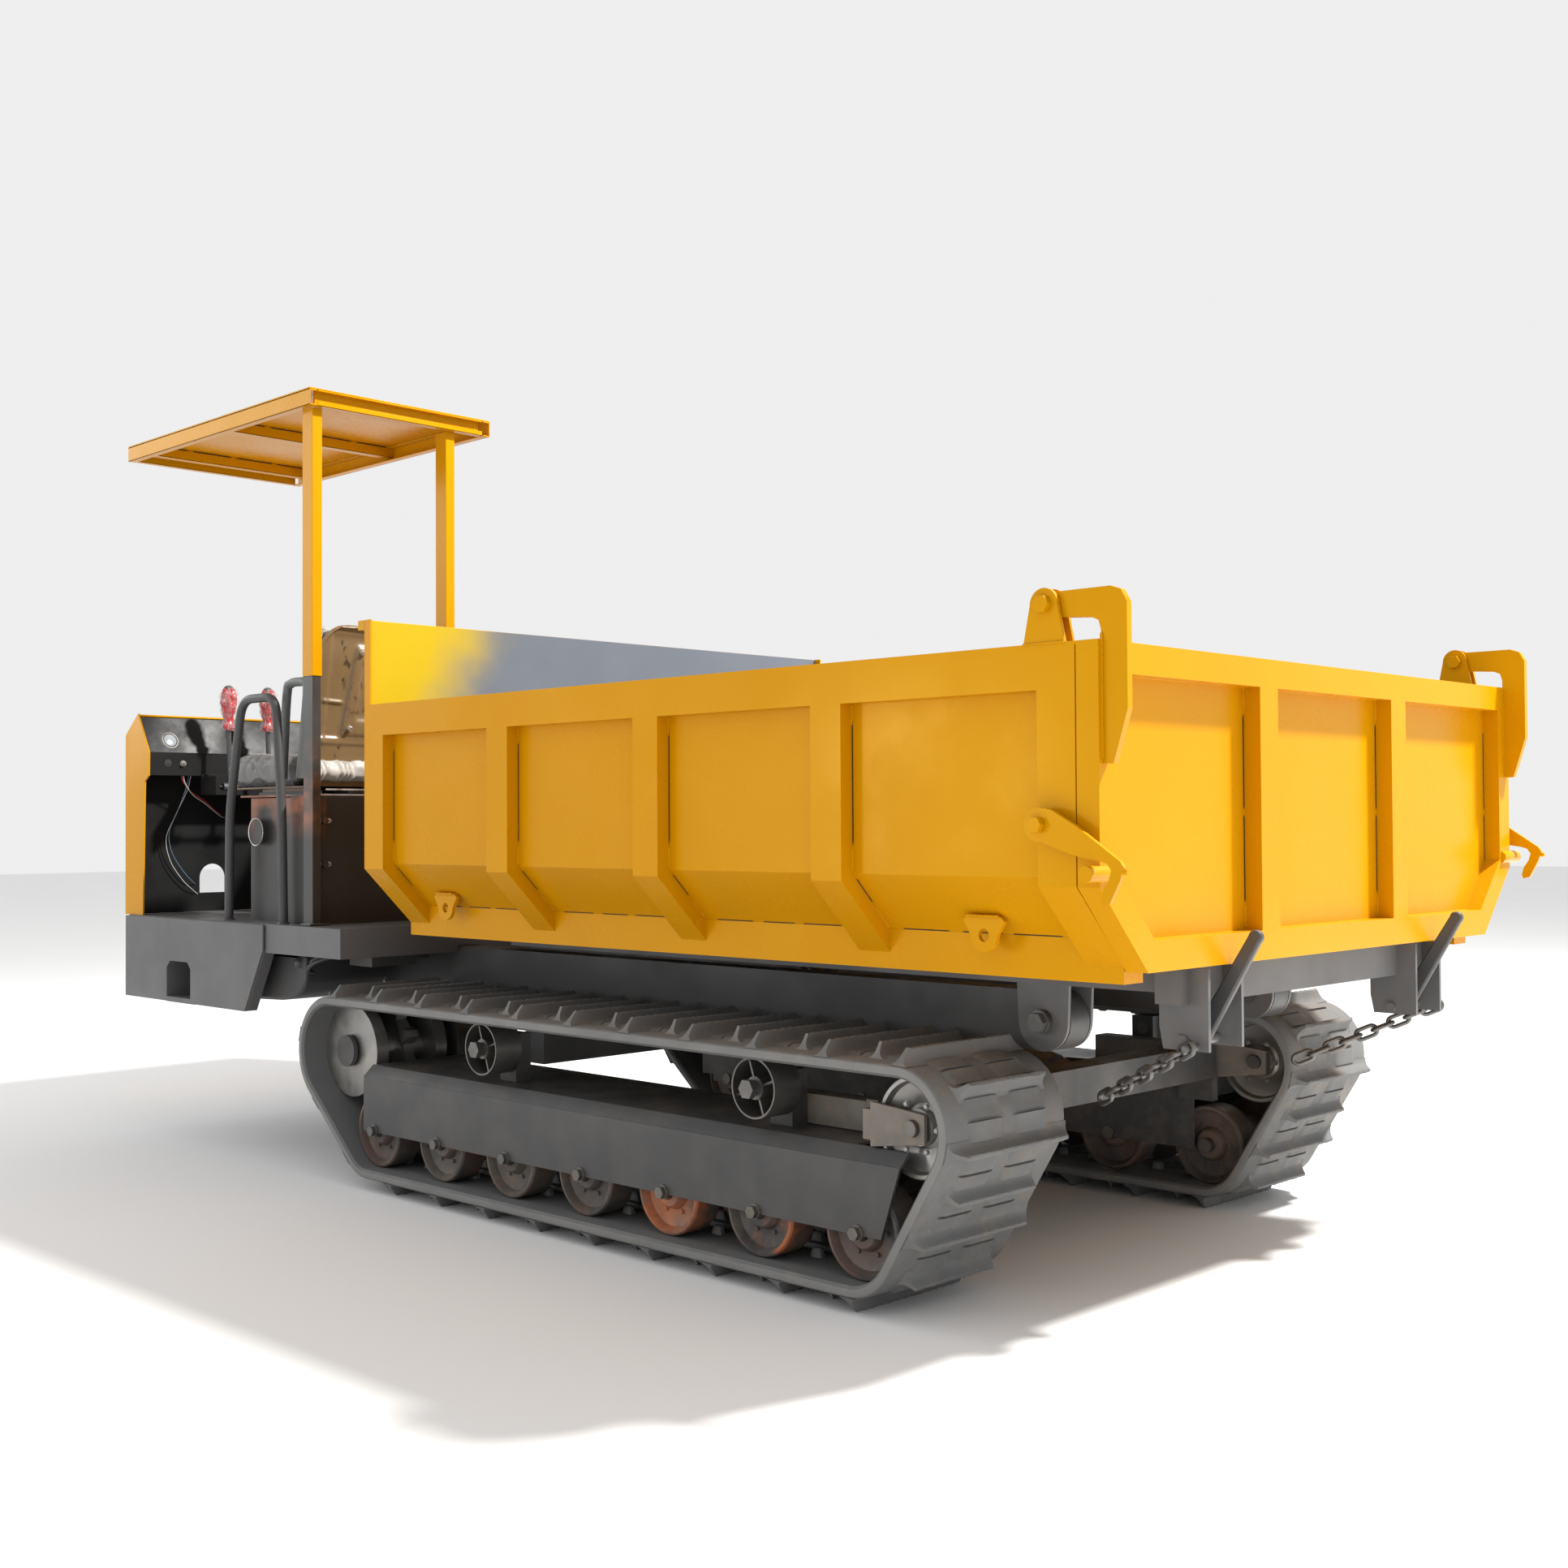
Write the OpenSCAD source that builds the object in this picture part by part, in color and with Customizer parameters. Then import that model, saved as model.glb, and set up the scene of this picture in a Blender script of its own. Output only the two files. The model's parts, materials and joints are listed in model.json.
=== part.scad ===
// Tracked grain cart: a self-propelled dumper on two rubber belts, with a tipping box,
// a swinging tailgate and an open operator's station with a canopy.
// Lengths are in millimetres. +X is forward, +Y is the operator's side, +Z is up.
// The modules measure X from the middle of the dump box; placed() moves the whole
// machine so that its middle stands at X = 0, with the tread lugs on Z = 0.

/* [Whole machine] */
// Distance from the middle of the dump box forward to the middle of the machine
box_to_middle = 815; // [760:1:860]

/* [Dump box] */
// Length of the box, outside
box_length = 2746; // [2700:2:2760]
// Width of the box over its ribs
box_width = 2100; // [2080:2:2120]
// Height of the top rail above the ground
box_top = 1562; // [1550:1:1600]
// Height at which the side walls bend inwards
box_bend = 1038; // [1030:1:1050]
// Depth of the pressed rails and ribs
rib_depth = 41; // [38:1:44]
// Width of a rib
rib_width = 100; // [90:1:110]
// Thickness of the box plates
plate = 6; // [5:1:6]
// Height of the headboard above the ground
headboard_top = 1835; // [1750:1:1900]

/* [Tracks] */
// Distance from the middle line to the middle of a belt
track_y = 790; // [788:1:792]
// Width of a rubber belt
track_width = 460; // [456:1:464]
// Thickness of a belt without its lugs
belt_thick = 30; // [28:1:32]
// Height of a tread lug
lug_height = 40; // [36:1:42]
// Thickness of a tread lug
lug_thick = 22; // [18:1:26]
// Number of tread lugs on one belt, long and short by turns
lug_count = 50; // [48:2:52]
// Spacing of the bottom rollers
roller_pitch = 350; // [345:1:352]
// Clearance between a wheel and its belt
wheel_gap = 1; // [1:0.5:2]

/* [Operator's station] */
// Height of the deck above the ground
deck_top = 835; // [830:1:840]
// Height of the canopy above the ground
canopy_top = 2670; // [2500:10:2700]
// Tube size of the canopy posts along the machine
post_depth = 65; // [55:1:70]
// Tube size of the canopy posts across the machine
post_width = 38; // [30:1:40]
// Diameter of the grab rail's tube
grab_dia = 32; // [28:1:36]

/* [Hidden] */
$fn = 48;
running = 0.05;              // radial clearance of a shaft in its bore

half_l = box_length / 2;
half_w = box_width / 2;
panel_y = half_w - rib_depth;
floor_z = 889;               // underside of the box floor
rail_bottom = 820;           // underside of the bottom rails
rail_y = 875;                // outer face of the bottom rails
slope_y = 846;               // where the slanted wall meets the floor
bend_panel = box_bend + 17;  // bend of the plate behind the ribs

tilt_at = [-920, 680];       // X, Z of the axis that the box tips about
gate_at = [-1293, 1646];     // X, Z of the tailgate's top hinge
latch_at = [-1300, 1171];    // X, Z of a side latch's pivot
prong_at = [-1352, 668];     // X, Z of a release prong's pivot
gate_pin_at = [-1428, 1067]; // X, Z of the pin that a latch holds
cyl_foot = [-550, 460];      // X, Z of the lift cylinder's foot
cyl_head = [450, 720];       // X, Z of the lift cylinder's head
cyl_dir = cyl_head - cyl_foot;
cyl_len = norm(cyl_dir);
cyl_angle = atan2(cyl_dir[1], cyl_dir[0]);

gate_front = -half_l - 3;
gate_rear = -half_l - 60;
gate_panel = gate_rear + 45;
gate_foot = 848;             // height of the tailgate's lower edge

hood_hinge = [196, 1561];    // Y, Z of the hood's hinge line
exhaust_at = [2300, 950];    // X, Z of the exhaust's tail pipe
lever_foot = [2890, 1330];   // X, Z of the control levers' shaft

sprocket_at = [1645, 425];
sprocket_r = 155;
idler_at = [-835, 455];
idler_r = 125;
roller_z = 190;
roller_r = 120;
roller_first = -680;
roller_last = roller_first + 6 * roller_pitch;
carrier_x = [-317, 854];
carrier_at_z = 500;
carrier_r = 80;
axle_r = 20;
belt_in = track_y - track_width / 2;
belt_out = track_y + track_width / 2;
frame_in = 596;              // inner face of a track frame
frame_out = 983;             // outer face of a track frame
frame_top = 394;
lip_deep = 42;               // how far a side cover's bent edge reaches inwards
beam_in = 460;               // chassis beams, across
beam_out = 540;
beam_top = 760;
beam_low = 600;

// Colours
yellow = [0.93, 0.66, 0.03];
black = [0.10, 0.10, 0.11];
rubber = [0.16, 0.16, 0.17];
steel = [0.55, 0.56, 0.58];
iron = [0.28, 0.27, 0.26];
seat_brown = [0.33, 0.26, 0.17];
film_grey = [0.45, 0.45, 0.45];

// ---------- general shapes ----------
module placed() {
    translate([-box_to_middle, 0, 0]) children();
}

module block(low, high) {
    translate(low) cube(high - low);
}

// An outline in X and Z, thick from y0 to y1
module side_plate(y0, y1) {
    translate([0, y1, 0]) rotate([90, 0, 0]) linear_extrude(y1 - y0) children();
}

// An outline in Y and Z, long from x0 to x1
module cross_plate(x0, x1) {
    translate([x0, 0, 0]) rotate([90, 0, 90]) linear_extrude(x1 - x0) children();
}

// A round bar along Y
module bar_y(at, r, y0, y1) {
    translate([at[0], y1, at[1]]) rotate([90, 0, 0]) cylinder(r = r, h = y1 - y0);
}

// A hexagon head or nut along Y, af across its flats
module hex_y(at, af, y0, y1) {
    translate([at[0], y1, at[1]]) rotate([90, 0, 0]) cylinder(r = af / sqrt(3), h = y1 - y0, $fn = 6);
}

module both_sides() {
    children();
    mirror([0, 1, 0]) children();
}

module on_side(side) {
    if (side > 0) children();
    else mirror([0, 1, 0]) children();
}

// ---------- the belt's path ----------
// The belt runs round four circles: sprocket, idler, rearmost and foremost roller.
wheels = [
    [sprocket_at[0], sprocket_at[1], sprocket_r],
    [idler_at[0], idler_at[1], idler_r],
    [roller_first, roller_z, roller_r],
    [roller_last, roller_z, roller_r]
];

function wheel(i) = wheels[(i + 4) % 4];
function gap_x(i) = wheel(i + 1)[0] - wheel(i)[0];
function gap_z(i) = wheel(i + 1)[1] - wheel(i)[1];
function gap_len(i) = sqrt(pow(gap_x(i), 2) + pow(gap_z(i), 2));
function leave_raw(i) =
    atan2(gap_z(i), gap_x(i)) - acos((wheel(i)[2] - wheel(i + 1)[2]) / gap_len(i));
// Direction of the outward normal on the straight run after wheel i, growing round the loop
function turn(i) = (leave_raw(i) - leave_raw((i + 3) % 4) + 720) % 360;
function leave(i) = i <= 0 ? leave_raw(0) : leave(i - 1) + turn(i % 4);
function arrive(i) = leave(i) - turn(i % 4);
function run_len(i) = sqrt(pow(gap_len(i), 2) - pow(wheel(i)[2] - wheel(i + 1)[2], 2));
function arc_len(i, off) = (wheel(i)[2] + off) * turn(i % 4) * PI / 180;

arc_step = 7.5;
function arc_points(i, off) =
    let (n = ceil(turn(i % 4) / arc_step))
    [for (k = [0:n])
        let (a = arrive(i) + turn(i % 4) * k / n, r = wheel(i)[2] + off)
        [wheel(i)[0] + r * cos(a), wheel(i)[1] + r * sin(a)]];
function loop(off) = [for (i = [0:3]) each arc_points(i, off)];

// Place on the loop at length s after leaving the sprocket: X, Z and the normal's direction
function on_run(i, s, off) =
    let (a = leave(i), r = wheel(i)[2] + off)
    [wheel(i)[0] + r * cos(a) - s * sin(a), wheel(i)[1] + r * sin(a) + s * cos(a), a];
function on_arc(i, s, off, mid) =
    let (a = arrive(i) + s / (wheel(i)[2] + mid) * 180 / PI, r = wheel(i)[2] + off)
    [wheel(i)[0] + r * cos(a), wheel(i)[1] + r * sin(a), a];
function along(s, off, mid, i = 0) =
    s <= run_len(i) ? on_run(i, s, off)
    : s - run_len(i) <= arc_len(i + 1, mid) ? on_arc(i + 1, s - run_len(i), off, mid)
    : along(s - run_len(i) - arc_len(i + 1, mid), off, mid, i + 1);

belt_mid = belt_thick / 2;
belt_len = run_len(0) + run_len(1) + run_len(2) + run_len(3)
    + arc_len(0, belt_mid) + arc_len(1, belt_mid) + arc_len(2, belt_mid) + arc_len(3, belt_mid);
lug_pitch = belt_len / lug_count;
lug_start = 25;

// ---------- tracks ----------
groove = 50;                 // width of the drive groove inside the belt
groove_deep = 12;
horn_in = 55;                // guide horns stand between these distances from the belt's middle
horn_out = 78;
horn_high = 24;

module lug(first, half_base, half_tip) {
    embed = 3;
    for (j = [first:2:lug_count - 1]) {
        at = along(lug_start + j * lug_pitch, belt_thick, belt_mid);
        translate([at[0], track_y, at[1]]) rotate([0, 90 - at[2], 0])
            translate([-lug_thick / 2, 0, 0]) rotate([90, 0, 90]) linear_extrude(lug_thick)
                polygon([[-half_base, -embed], [half_base, -embed],
                         [half_tip, lug_height], [-half_tip, lug_height]]);
    }
}

module horns() {
    for (j = [0:lug_count - 1]) {
        at = along(lug_start + j * lug_pitch, 0, belt_mid);
        translate([at[0], at[1]]) rotate(at[2] - 90)
            polygon([[-20, 2], [20, 2], [12, -horn_high], [-12, -horn_high]]);
    }
}

module belt_solid() {
    long_base = track_width / 2 - 2;
    short_base = track_width * 0.36;
    end_slope = 34;
    difference() {
        side_plate(belt_in, belt_out) difference() {
            polygon(loop(belt_thick));
            polygon(loop(0));
        }
        side_plate(track_y - groove / 2, track_y + groove / 2) polygon(loop(groove_deep));
    }
    lug(0, long_base, long_base - end_slope);
    lug(1, short_base, short_base - end_slope / 2);
    side_plate(track_y + horn_in, track_y + horn_out) horns();
    side_plate(track_y - horn_out, track_y - horn_in) horns();
}

module left_track_belt() {
    color(rubber) placed() belt_solid();
}

module right_track_belt() {
    color(rubber) placed() mirror([0, 1, 0]) belt_solid();
}

// A wheel of two rims on one hub, turning on a fixed axle
module twin_wheel(at, r, rim_in, rim_out, hub_r, bore_r) {
    difference() {
        union() {
            for (s = [0, 1]) mirror([0, s, 0]) translate([0, s * -2 * track_y, 0])
                bar_y(at, r, track_y + rim_in, track_y + rim_out);
            bar_y(at, hub_r, track_y - rim_out, track_y + rim_out);
        }
        // the outer faces are dished
        for (s = [0, 1]) mirror([0, s, 0]) translate([0, s * -2 * track_y, 0]) difference() {
            bar_y(at, r - 12, track_y + rim_out - 32, track_y + rim_out + 1);
            bar_y(at, 42, track_y + rim_out - 33, track_y + rim_out + 2);
        }
        bar_y(at, bore_r, track_y - rim_out - 1, track_y + rim_out + 1);
    }
}

module bottom_roller(side, n) {
    color(iron) placed() on_side(side)
        twin_wheel([roller_first + (n - 1) * roller_pitch, roller_z],
            roller_r - wheel_gap, 90, 178, 62, axle_r + running);
}

// A carrier roller is an open drum on a hub with four plate spokes
module carrier_roller(side, n) {
    at = [carrier_x[2 - n], carrier_at_z];
    wall = 5;
    y0 = track_y + 90;
    y1 = track_y + 185;
    r = carrier_r - wheel_gap;
    color(steel) placed() on_side(side) difference() {
        union() {
            difference() {
                bar_y(at, r, y0, y1);
                bar_y(at, r - wall, y0 - 1, y1 + 1);
            }
            difference() {
                bar_y(at, r - wall + 1, y0 + 8, y0 + 16);
                bar_y(at, 20, y0, y1);
            }
            bar_y(at, 30, y0, y1 - 6);
            for (k = [0:3])
                translate([at[0], 0, at[1]]) rotate([0, k * 90 + 20, 0])
                    block([24, y0 + 12, -3], [r - wall + 1, y1 - 12, 3]);
        }
        bar_y(at, axle_r + running, y0 - 1, y1 + 1);
    }
}

module left_idler_wheel() {
    idler_wheel(1);
}

module right_idler_wheel() {
    idler_wheel(-1);
}

module idler_wheel(side) {
    color(steel) placed() on_side(side)
        twin_wheel(idler_at, idler_r - wheel_gap, 88, 150, 80, axle_r + running);
}

module left_drive_sprocket() {
    drive_sprocket(1);
}

module right_drive_sprocket() {
    drive_sprocket(-1);
}

// The sprocket's teeth run in the groove between the two rows of guide horns
module drive_sprocket(side) {
    teeth = 9;
    tooth_r = sprocket_r + groove_deep - 3;
    root_r = tooth_r - 34;
    half = groove / 2 - 4;
    color(iron) placed() on_side(side) {
        difference() {
            union() {
                bar_y(sprocket_at, root_r, track_y - half, track_y + half);
                for (k = [0:teeth - 1])
                    translate([sprocket_at[0], 0, sprocket_at[1]]) rotate([0, k * 360 / teeth, 0])
                        side_plate(track_y - half, track_y + half)
                            polygon([[root_r - 12, -26], [root_r + 8, -24], [tooth_r, -11],
                                     [tooth_r, 11], [root_r + 8, 24], [root_r - 12, 26]]);
                bar_y(sprocket_at, 75, track_y - 100, track_y + 100);
                for (s = [-1, 1])
                    bar_y(sprocket_at, sprocket_r - wheel_gap, track_y + s * 115 - 22, track_y + s * 115 + 22);
            }
            bar_y(sprocket_at, 30 + running, track_y - 140, track_y + 140);
        }
    }
}

module drive_motors() {
    color(black) placed() both_sides() {
        bar_y(sprocket_at, 30, 560, track_y + 145);
        bar_y(sprocket_at, 52, track_y + 145, track_y + 160);
        bar_y(sprocket_at, 95, 470, 610);
        bar_y(sprocket_at, 70, 340, 470);
        for (k = [0:7])
            translate([sprocket_at[0], 0, sprocket_at[1]]) rotate([0, k * 45, 0])
                hex_y([84, 0], 13, 610, 618);
    }
}

// Roller, idler and tipping axles, and the pin of the lift cylinder's foot
module axles_and_pins() {
    color(iron) placed() {
        bar_y(cyl_foot, 22, -80, 80);
        both_sides() wheel_axles();
    }
}

module wheel_axles() {
    bar_y(tilt_at, 30, 440, 572);
    hex_y(tilt_at, 44, 572, 590);
    for (n = [0:6]) {
        at = [roller_first + n * roller_pitch, roller_z];
        bar_y(at, axle_r, frame_in - 6, frame_out + 4);
        hex_y(at, 30, frame_out + 4, frame_out + 18);
    }
    for (x = carrier_x) {
        bar_y([x, carrier_at_z], axle_r, 816, track_y + 194);
        hex_y([x, carrier_at_z], 46, track_y + 194, track_y + 212);
    }
    bar_y(idler_at, axle_r, 610, 970);
}

// ---------- track frames ----------
module track_frames() {
    x0 = -640;
    x1 = 1500;
    wall = 8;
    front = x1 - 20;            // where the plates end behind the sprocket
    color(black) placed() both_sides() difference() {
        union() {
            // inner side plate and top plate of the inverted channel
            block([x0, frame_in, 175], [x1, frame_in + wall, frame_top]);
            block([x0, frame_in, frame_top - wall], [front, frame_out - lip_deep, frame_top]);
            // main beam under the top plate
            block([x0, 740, 320], [front, 840, frame_top - wall]);
            // posts of the carrier rollers, inboard of the drums
            for (x = carrier_x)
                block([x - 40, 816, frame_top - 1], [x + 40, 872, 540]);
            // saddles that the chassis cross beams stand in
            for (x = [-670, 1080])
                block([x - 50, 575, 400], [x + 50, frame_in + 1, 500]);
            block([-720, 575, 330], [-600, frame_in + wall, 420]);
            // upright that carries the drive motor
            block([x1 - 1, frame_in, 200], [x1 + 60, frame_in + wall, 500]);
            block([x1 + 30, frame_in, 330], [x1 + 220, frame_in + wall, 520]);
        }
        bar_y(sprocket_at, 96, 560, 640);
        for (n = [0:6])
            bar_y([roller_first + n * roller_pitch, roller_z], axle_r, frame_in - 1, frame_in + wall + 1);
        for (x = carrier_x)
            bar_y([x, carrier_at_z], axle_r, 815, 880);
    }
}

module track_covers() {
    wall = 8;
    color(black) placed() both_sides() difference() {
        union() {
            side_plate(frame_out - wall, frame_out)
                polygon([[-756, 185], [1483, 185], [1483, 362], [-816, 362]]);
            // the top edge bends inwards onto the top plate
            cross_plate(-816, 1483)
                polygon([[frame_out - wall, 360], [frame_out, 360], [frame_out - 36, frame_top],
                         [frame_out - lip_deep, frame_top], [frame_out - lip_deep, frame_top - wall]]);
        }
        for (n = [0:6])
            bar_y([roller_first + n * roller_pitch, roller_z], axle_r, frame_out - wall - 1, frame_out + 1);
    }
}

// The idler's fork slides in guides; a grease cylinder pushes it back to tighten the belt
module idler_yokes() {
    color(iron) placed() both_sides() difference() {
        union() {
            for (y = [[944, 956], [624, 636]])
                side_plate(y[0], y[1])
                    polygon([[-870, 420], [-870, 490], [-700, 505], [-700, frame_top + 2]]);
            block([-700, 624, 412], [-676, 956, 486]);
            block([-677, 755, 425], [-599, 803, 465]);
            block([-600, 745, 396], [-180, 812, 474]);
            block([-600, 735, frame_top], [-560, 814, 480]);
        }
        for (y = [944, 624]) bar_y(idler_at, axle_r, y - 1, y + 13);
    }
}

// ---------- chassis ----------
module chassis_frame() {
    pivot_r = 75;
    front = 3040;
    color(black) placed() difference() {
        union() {
            both_sides() {
                // main beam with a rounded pivot end
                block([tilt_at[0], beam_in, beam_low + 6], [front, beam_out, beam_top - 5]);
                bar_y(tilt_at, pivot_r, beam_in, beam_out);
                // legs down to the cross beams
                for (x = [-670, 1080])
                    block([x - 50, beam_in, 480], [x + 50, beam_out, beam_low + 10]);
                // cross beam stubs that reach the track frames
                for (x = [-670, 1080])
                    block([x - 50, beam_in, 400], [x + 50, 575, 500]);
                // deck brackets
                for (x = [1700, 2300, 2900])
                    block([x - 30, beam_in, beam_top - 10], [x + 30, beam_out, 800]);
            }
            for (x = [-670, 1080, 2950])
                block([x - 50, -beam_in - 1, x > 2000 ? beam_low + 6 : 400],
                      [x + 50, beam_in + 1, x > 2000 ? 700 : 500]);
            // lugs of the lift cylinder's foot
            for (y = [-72, 60])
                side_plate(y, y + 12) difference() {
                    union() {
                        translate(cyl_foot) circle(38);
                        polygon([[-625, 410], [cyl_foot[0], 422], [cyl_foot[0], 498], [-625, 500]]);
                    }
                    translate(cyl_foot) circle(22);
                }
        }
        both_sides() bar_y(tilt_at, 30, beam_in - 1, beam_out + 1);
    }
}

module deck() {
    x0 = 1580;
    x1 = 3102;
    edge = 1020;
    thick = 8;
    color(black) placed() {
        block([x0, -edge + 10, deck_top - thick], [x1, edge - 10, deck_top]);
        // channel round the rear of the deck, notched over the chassis beams
        difference() {
            block([x0, -edge + 10, deck_top - 100], [x0 + 50, edge - 10, deck_top - thick + 1]);
            both_sides() block([x0 - 1, beam_in - 3, deck_top - 101], [x0 + 51, beam_out + 3, beam_top - 3]);
        }
        both_sides() block([x0, edge - 60, deck_top - 100], [2064, edge - 10, deck_top - thick + 1]);
        // bearers over the chassis beams
        for (x = [1700, 2300, 2900])
            block([x - 30, -edge + 12, 800], [x + 30, edge - 12, deck_top - thick + 1]);
    }
}

// Pressed skirts at the front corners, with a step hole on the operator's side
module step_skirts() {
    outline = [[2065, 832], [2065, 744], [2191, 523], [3102, 523], [3102, 832]];
    hole = [[2588, 540], [2771, 540], [2771, 650], [2745, 674], [2612, 674], [2588, 650]];
    color(black) placed() {
        side_plate(1012, 1020) difference() {
            polygon(outline);
            polygon(hole);
        }
        side_plate(-1020, -1012) polygon(outline);
        block([3102, -1020, 523], [3110, 1020, 832]);
        // the step tread inside the hole
        difference() {
            block([2570, 860, 520], [2790, 1012, 680]);
            side_plate(868, 1013) polygon(hole);
        }
        // bent rear edges
        both_sides() side_plate(970, 1012)
            polygon([[2065, 740], [2071, 746], [2197, 529], [2191, 523]]);
    }
}

module hydraulic_tank() {
    color(black) placed() {
        side_plate(600, 930)
            polygon([[1930, 727], [1930, 640], [1960, 600], [2010, 576], [2100, 562], [2250, 556],
                     [2400, 562], [2490, 576], [2540, 600], [2560, 640], [2560, 727]]);
        bar_y([1965, 700], 18, 930, 950);
    }
}

// Gear pump and valve block behind the tank, with its hose stubs
module pump_block() {
    color(iron) placed() {
        block([1720, 620, 690], [1860, 800, 790]);
        for (x = [1750, 1800, 1845])
            translate([x, 800, 735]) rotate([-90, 0, 0]) cylinder(r = 15, h = 60);
        bar_y([1790, 740], 40, 540, 621);
    }
}

// ---------- engine side ----------
// Engine with its radiator and exhaust
module engine() {
    color(iron) placed() {
        engine_block();
        radiator();
        exhaust_pipe();
    }
}

module engine_block() {
    block([2050, -640, 930], [2620, -240, 1240]);
    block([2080, -590, 1240], [2590, -290, 1330]);
    block([2000, -600, 870], [2660, -280, 930]);
    // flywheel housing
    translate([1960, -440, 1060]) rotate([0, 90, 0]) cylinder(r = 184, h = 91);
    // crank pulley
    translate([2619, -440, 1010]) rotate([0, 90, 0]) cylinder(r = 75, h = 36);
    // feet
    for (x = [2080, 2540]) for (y = [-600, -340])
        block([x, y, deck_top], [x + 60, y + 60, 871]);
    // inlet and exhaust manifolds
    block([2120, -690, 1150], [2560, -639, 1210]);
    block([2120, -241, 1150], [2560, -190, 1210]);
}

module radiator() {
    block([2790, -760, deck_top + 20], [2860, -160, 1440]);
    block([2780, -780, deck_top], [2870, -140, deck_top + 21]);
    translate([2772, -460, 1080]) rotate([0, 90, 0]) cylinder(r = 190, h = 19);
    translate([2825, -460, 1439]) cylinder(r = 28, h = 31);
}

// Silencer beside the engine, with a tail pipe out through the side panel
module exhaust_pipe() {
    translate([2120, -800, exhaust_at[1]]) rotate([0, 90, 0]) cylinder(r = 62, h = 360);
    difference() {
        bar_y(exhaust_at, 30, -1012, -800);
        bar_y(exhaust_at, 26, -1013, -870);
    }
    block([2180, -825, 970], [2230, -775, 1200]);
    block([2180, -780, 1155], [2230, -689, 1200]);
}

hood_x = [1800, 2953];
hood_y = [-1000, 189];
hood_top = 1560;
hood_low = deck_top + 205;
hood_wall = 4;

// Hood over the engine: top, ends and outer side, hinged along its inner edge
module engine_hood() {
    slot_step = 90;
    color(yellow) placed() difference() {
        block([hood_x[0], hood_y[0], hood_low], [hood_x[1], hood_y[1], hood_top]);
        block([hood_x[0] + hood_wall, hood_y[0] + hood_wall, hood_low - 1],
              [hood_x[1] - hood_wall, hood_y[1] + 1, hood_top - hood_wall]);
        // cooling slots in the outer side and the rear end
        for (k = [0:5]) {
            block([2150 + k * slot_step, hood_y[0] - 1, 1180],
                  [2190 + k * slot_step, hood_y[0] + hood_wall + 1, 1400]);
            block([hood_x[0] - 1, -820 + k * slot_step, 1180],
                  [hood_x[0] + hood_wall + 1, -780 + k * slot_step, 1400]);
        }
    }
}

// Fixed panels under the hood, and the wall between the engine and the operator
module engine_bay() {
    low = deck_top;
    high = hood_low - 5;
    wall_y = hood_hinge[0] - 4;
    color(black) placed() difference() {
        union() {
            difference() {
                block([hood_x[0], hood_y[0], low], [hood_x[1], wall_y + 1, high]);
                block([hood_x[0] + hood_wall, hood_y[0] + hood_wall, low - 1],
                      [hood_x[1] - hood_wall, wall_y + 2, high + 1]);
            }
            block([hood_x[0], wall_y, low], [hood_x[1], wall_y + 6, hood_top - 4]);
            // hinge barrels
            for (x = [1900, 2350, 2800])
                translate([x, hood_hinge[0], hood_hinge[1]]) rotate([0, 90, 0]) cylinder(r = 6, h = 70);
        }
        bar_y(exhaust_at, 36, hood_y[0] - 1, hood_y[0] + hood_wall + 1);
    }
}

// ---------- operator's station ----------
module cowl() {
    color(black) placed() {
        difference() {
            // front sheet and the floor lip
            block([3104, -996, deck_top], [3110, 996, 1545]);
            // arched hole at the operator's feet
            translate([3100, 660, 0]) {
                block([0, -55, 910], [14, 55, 970]);
                translate([0, 0, 970]) rotate([0, 90, 0]) cylinder(r = 55, h = 14);
            }
        }
        // brackets and shaft of the control levers
        for (y = [330, 754]) block([2870, y, 1300], [2981, y + 16, 1372]);
        block([2980, 330, 1300], [2991, 770, 1380]);
        bar_y(lever_foot, 8, 340, 760);
        // cross rail and the sloping dash above it
        block([2990, -996, 1375], [2996, 996, 1465]);
        block([2990, -996, 1459], [3104, 996, 1465]);
        side_plate(-996, 996)
            polygon([[2990, 1465], [3046, 1602], [3110, 1540], [3104, 1535], [3047, 1592], [2996, 1465]]);
    }
}

// Yellow end plates of the cowl and its front panel
module cowl_plates() {
    color(yellow) placed() {
        both_sides() side_plate(996, 1002)
            polygon([[3047, 1615], [3152, 1534], [3150, deck_top], [3004, deck_top], [2990, 1350],
                     [2958, 1372], [2956, 1461]]);
        difference() {
            block([3144, -997, deck_top], [3150, 997, 1530]);
            // opening in front of the arched hole
            block([3143, 560, 880], [3151, 750, 1060]);
            // cooling slots in front of the radiator
            for (k = [0:6]) block([3143, -840 + k * 90, 1000], [3151, -800 + k * 90, 1400]);
        }
        side_plate(-997, 997) polygon([[3144, 1529], [3150, 1529], [3150, 1536], [3050, 1612], [3046, 1606]]);
    }
}

module seat_box() {
    color(black) placed() {
        block([2034, 420, deck_top], [2361, 900, 1277]);
        block([1866, 426, deck_top], [2035, 929, 1281]);
        block([1890, 300, deck_top], [2035, 427, 1281]);
        // seat platform and fixed rails
        block([1900, 400, 1280], [2420, 910, 1287]);
        for (y = [470, 830]) block([2020, y - 16, 1286], [2400, y + 16, 1299]);
        // filler cap on the side
        bar_y([2280, 1155], 46, 899, 928);
        // hinge bolts on the rear wall
        for (z = [1043, 1193]) translate([1867, 900, z]) rotate([0, -90, 0]) cylinder(r = 12, h = 17);
    }
}

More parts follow.
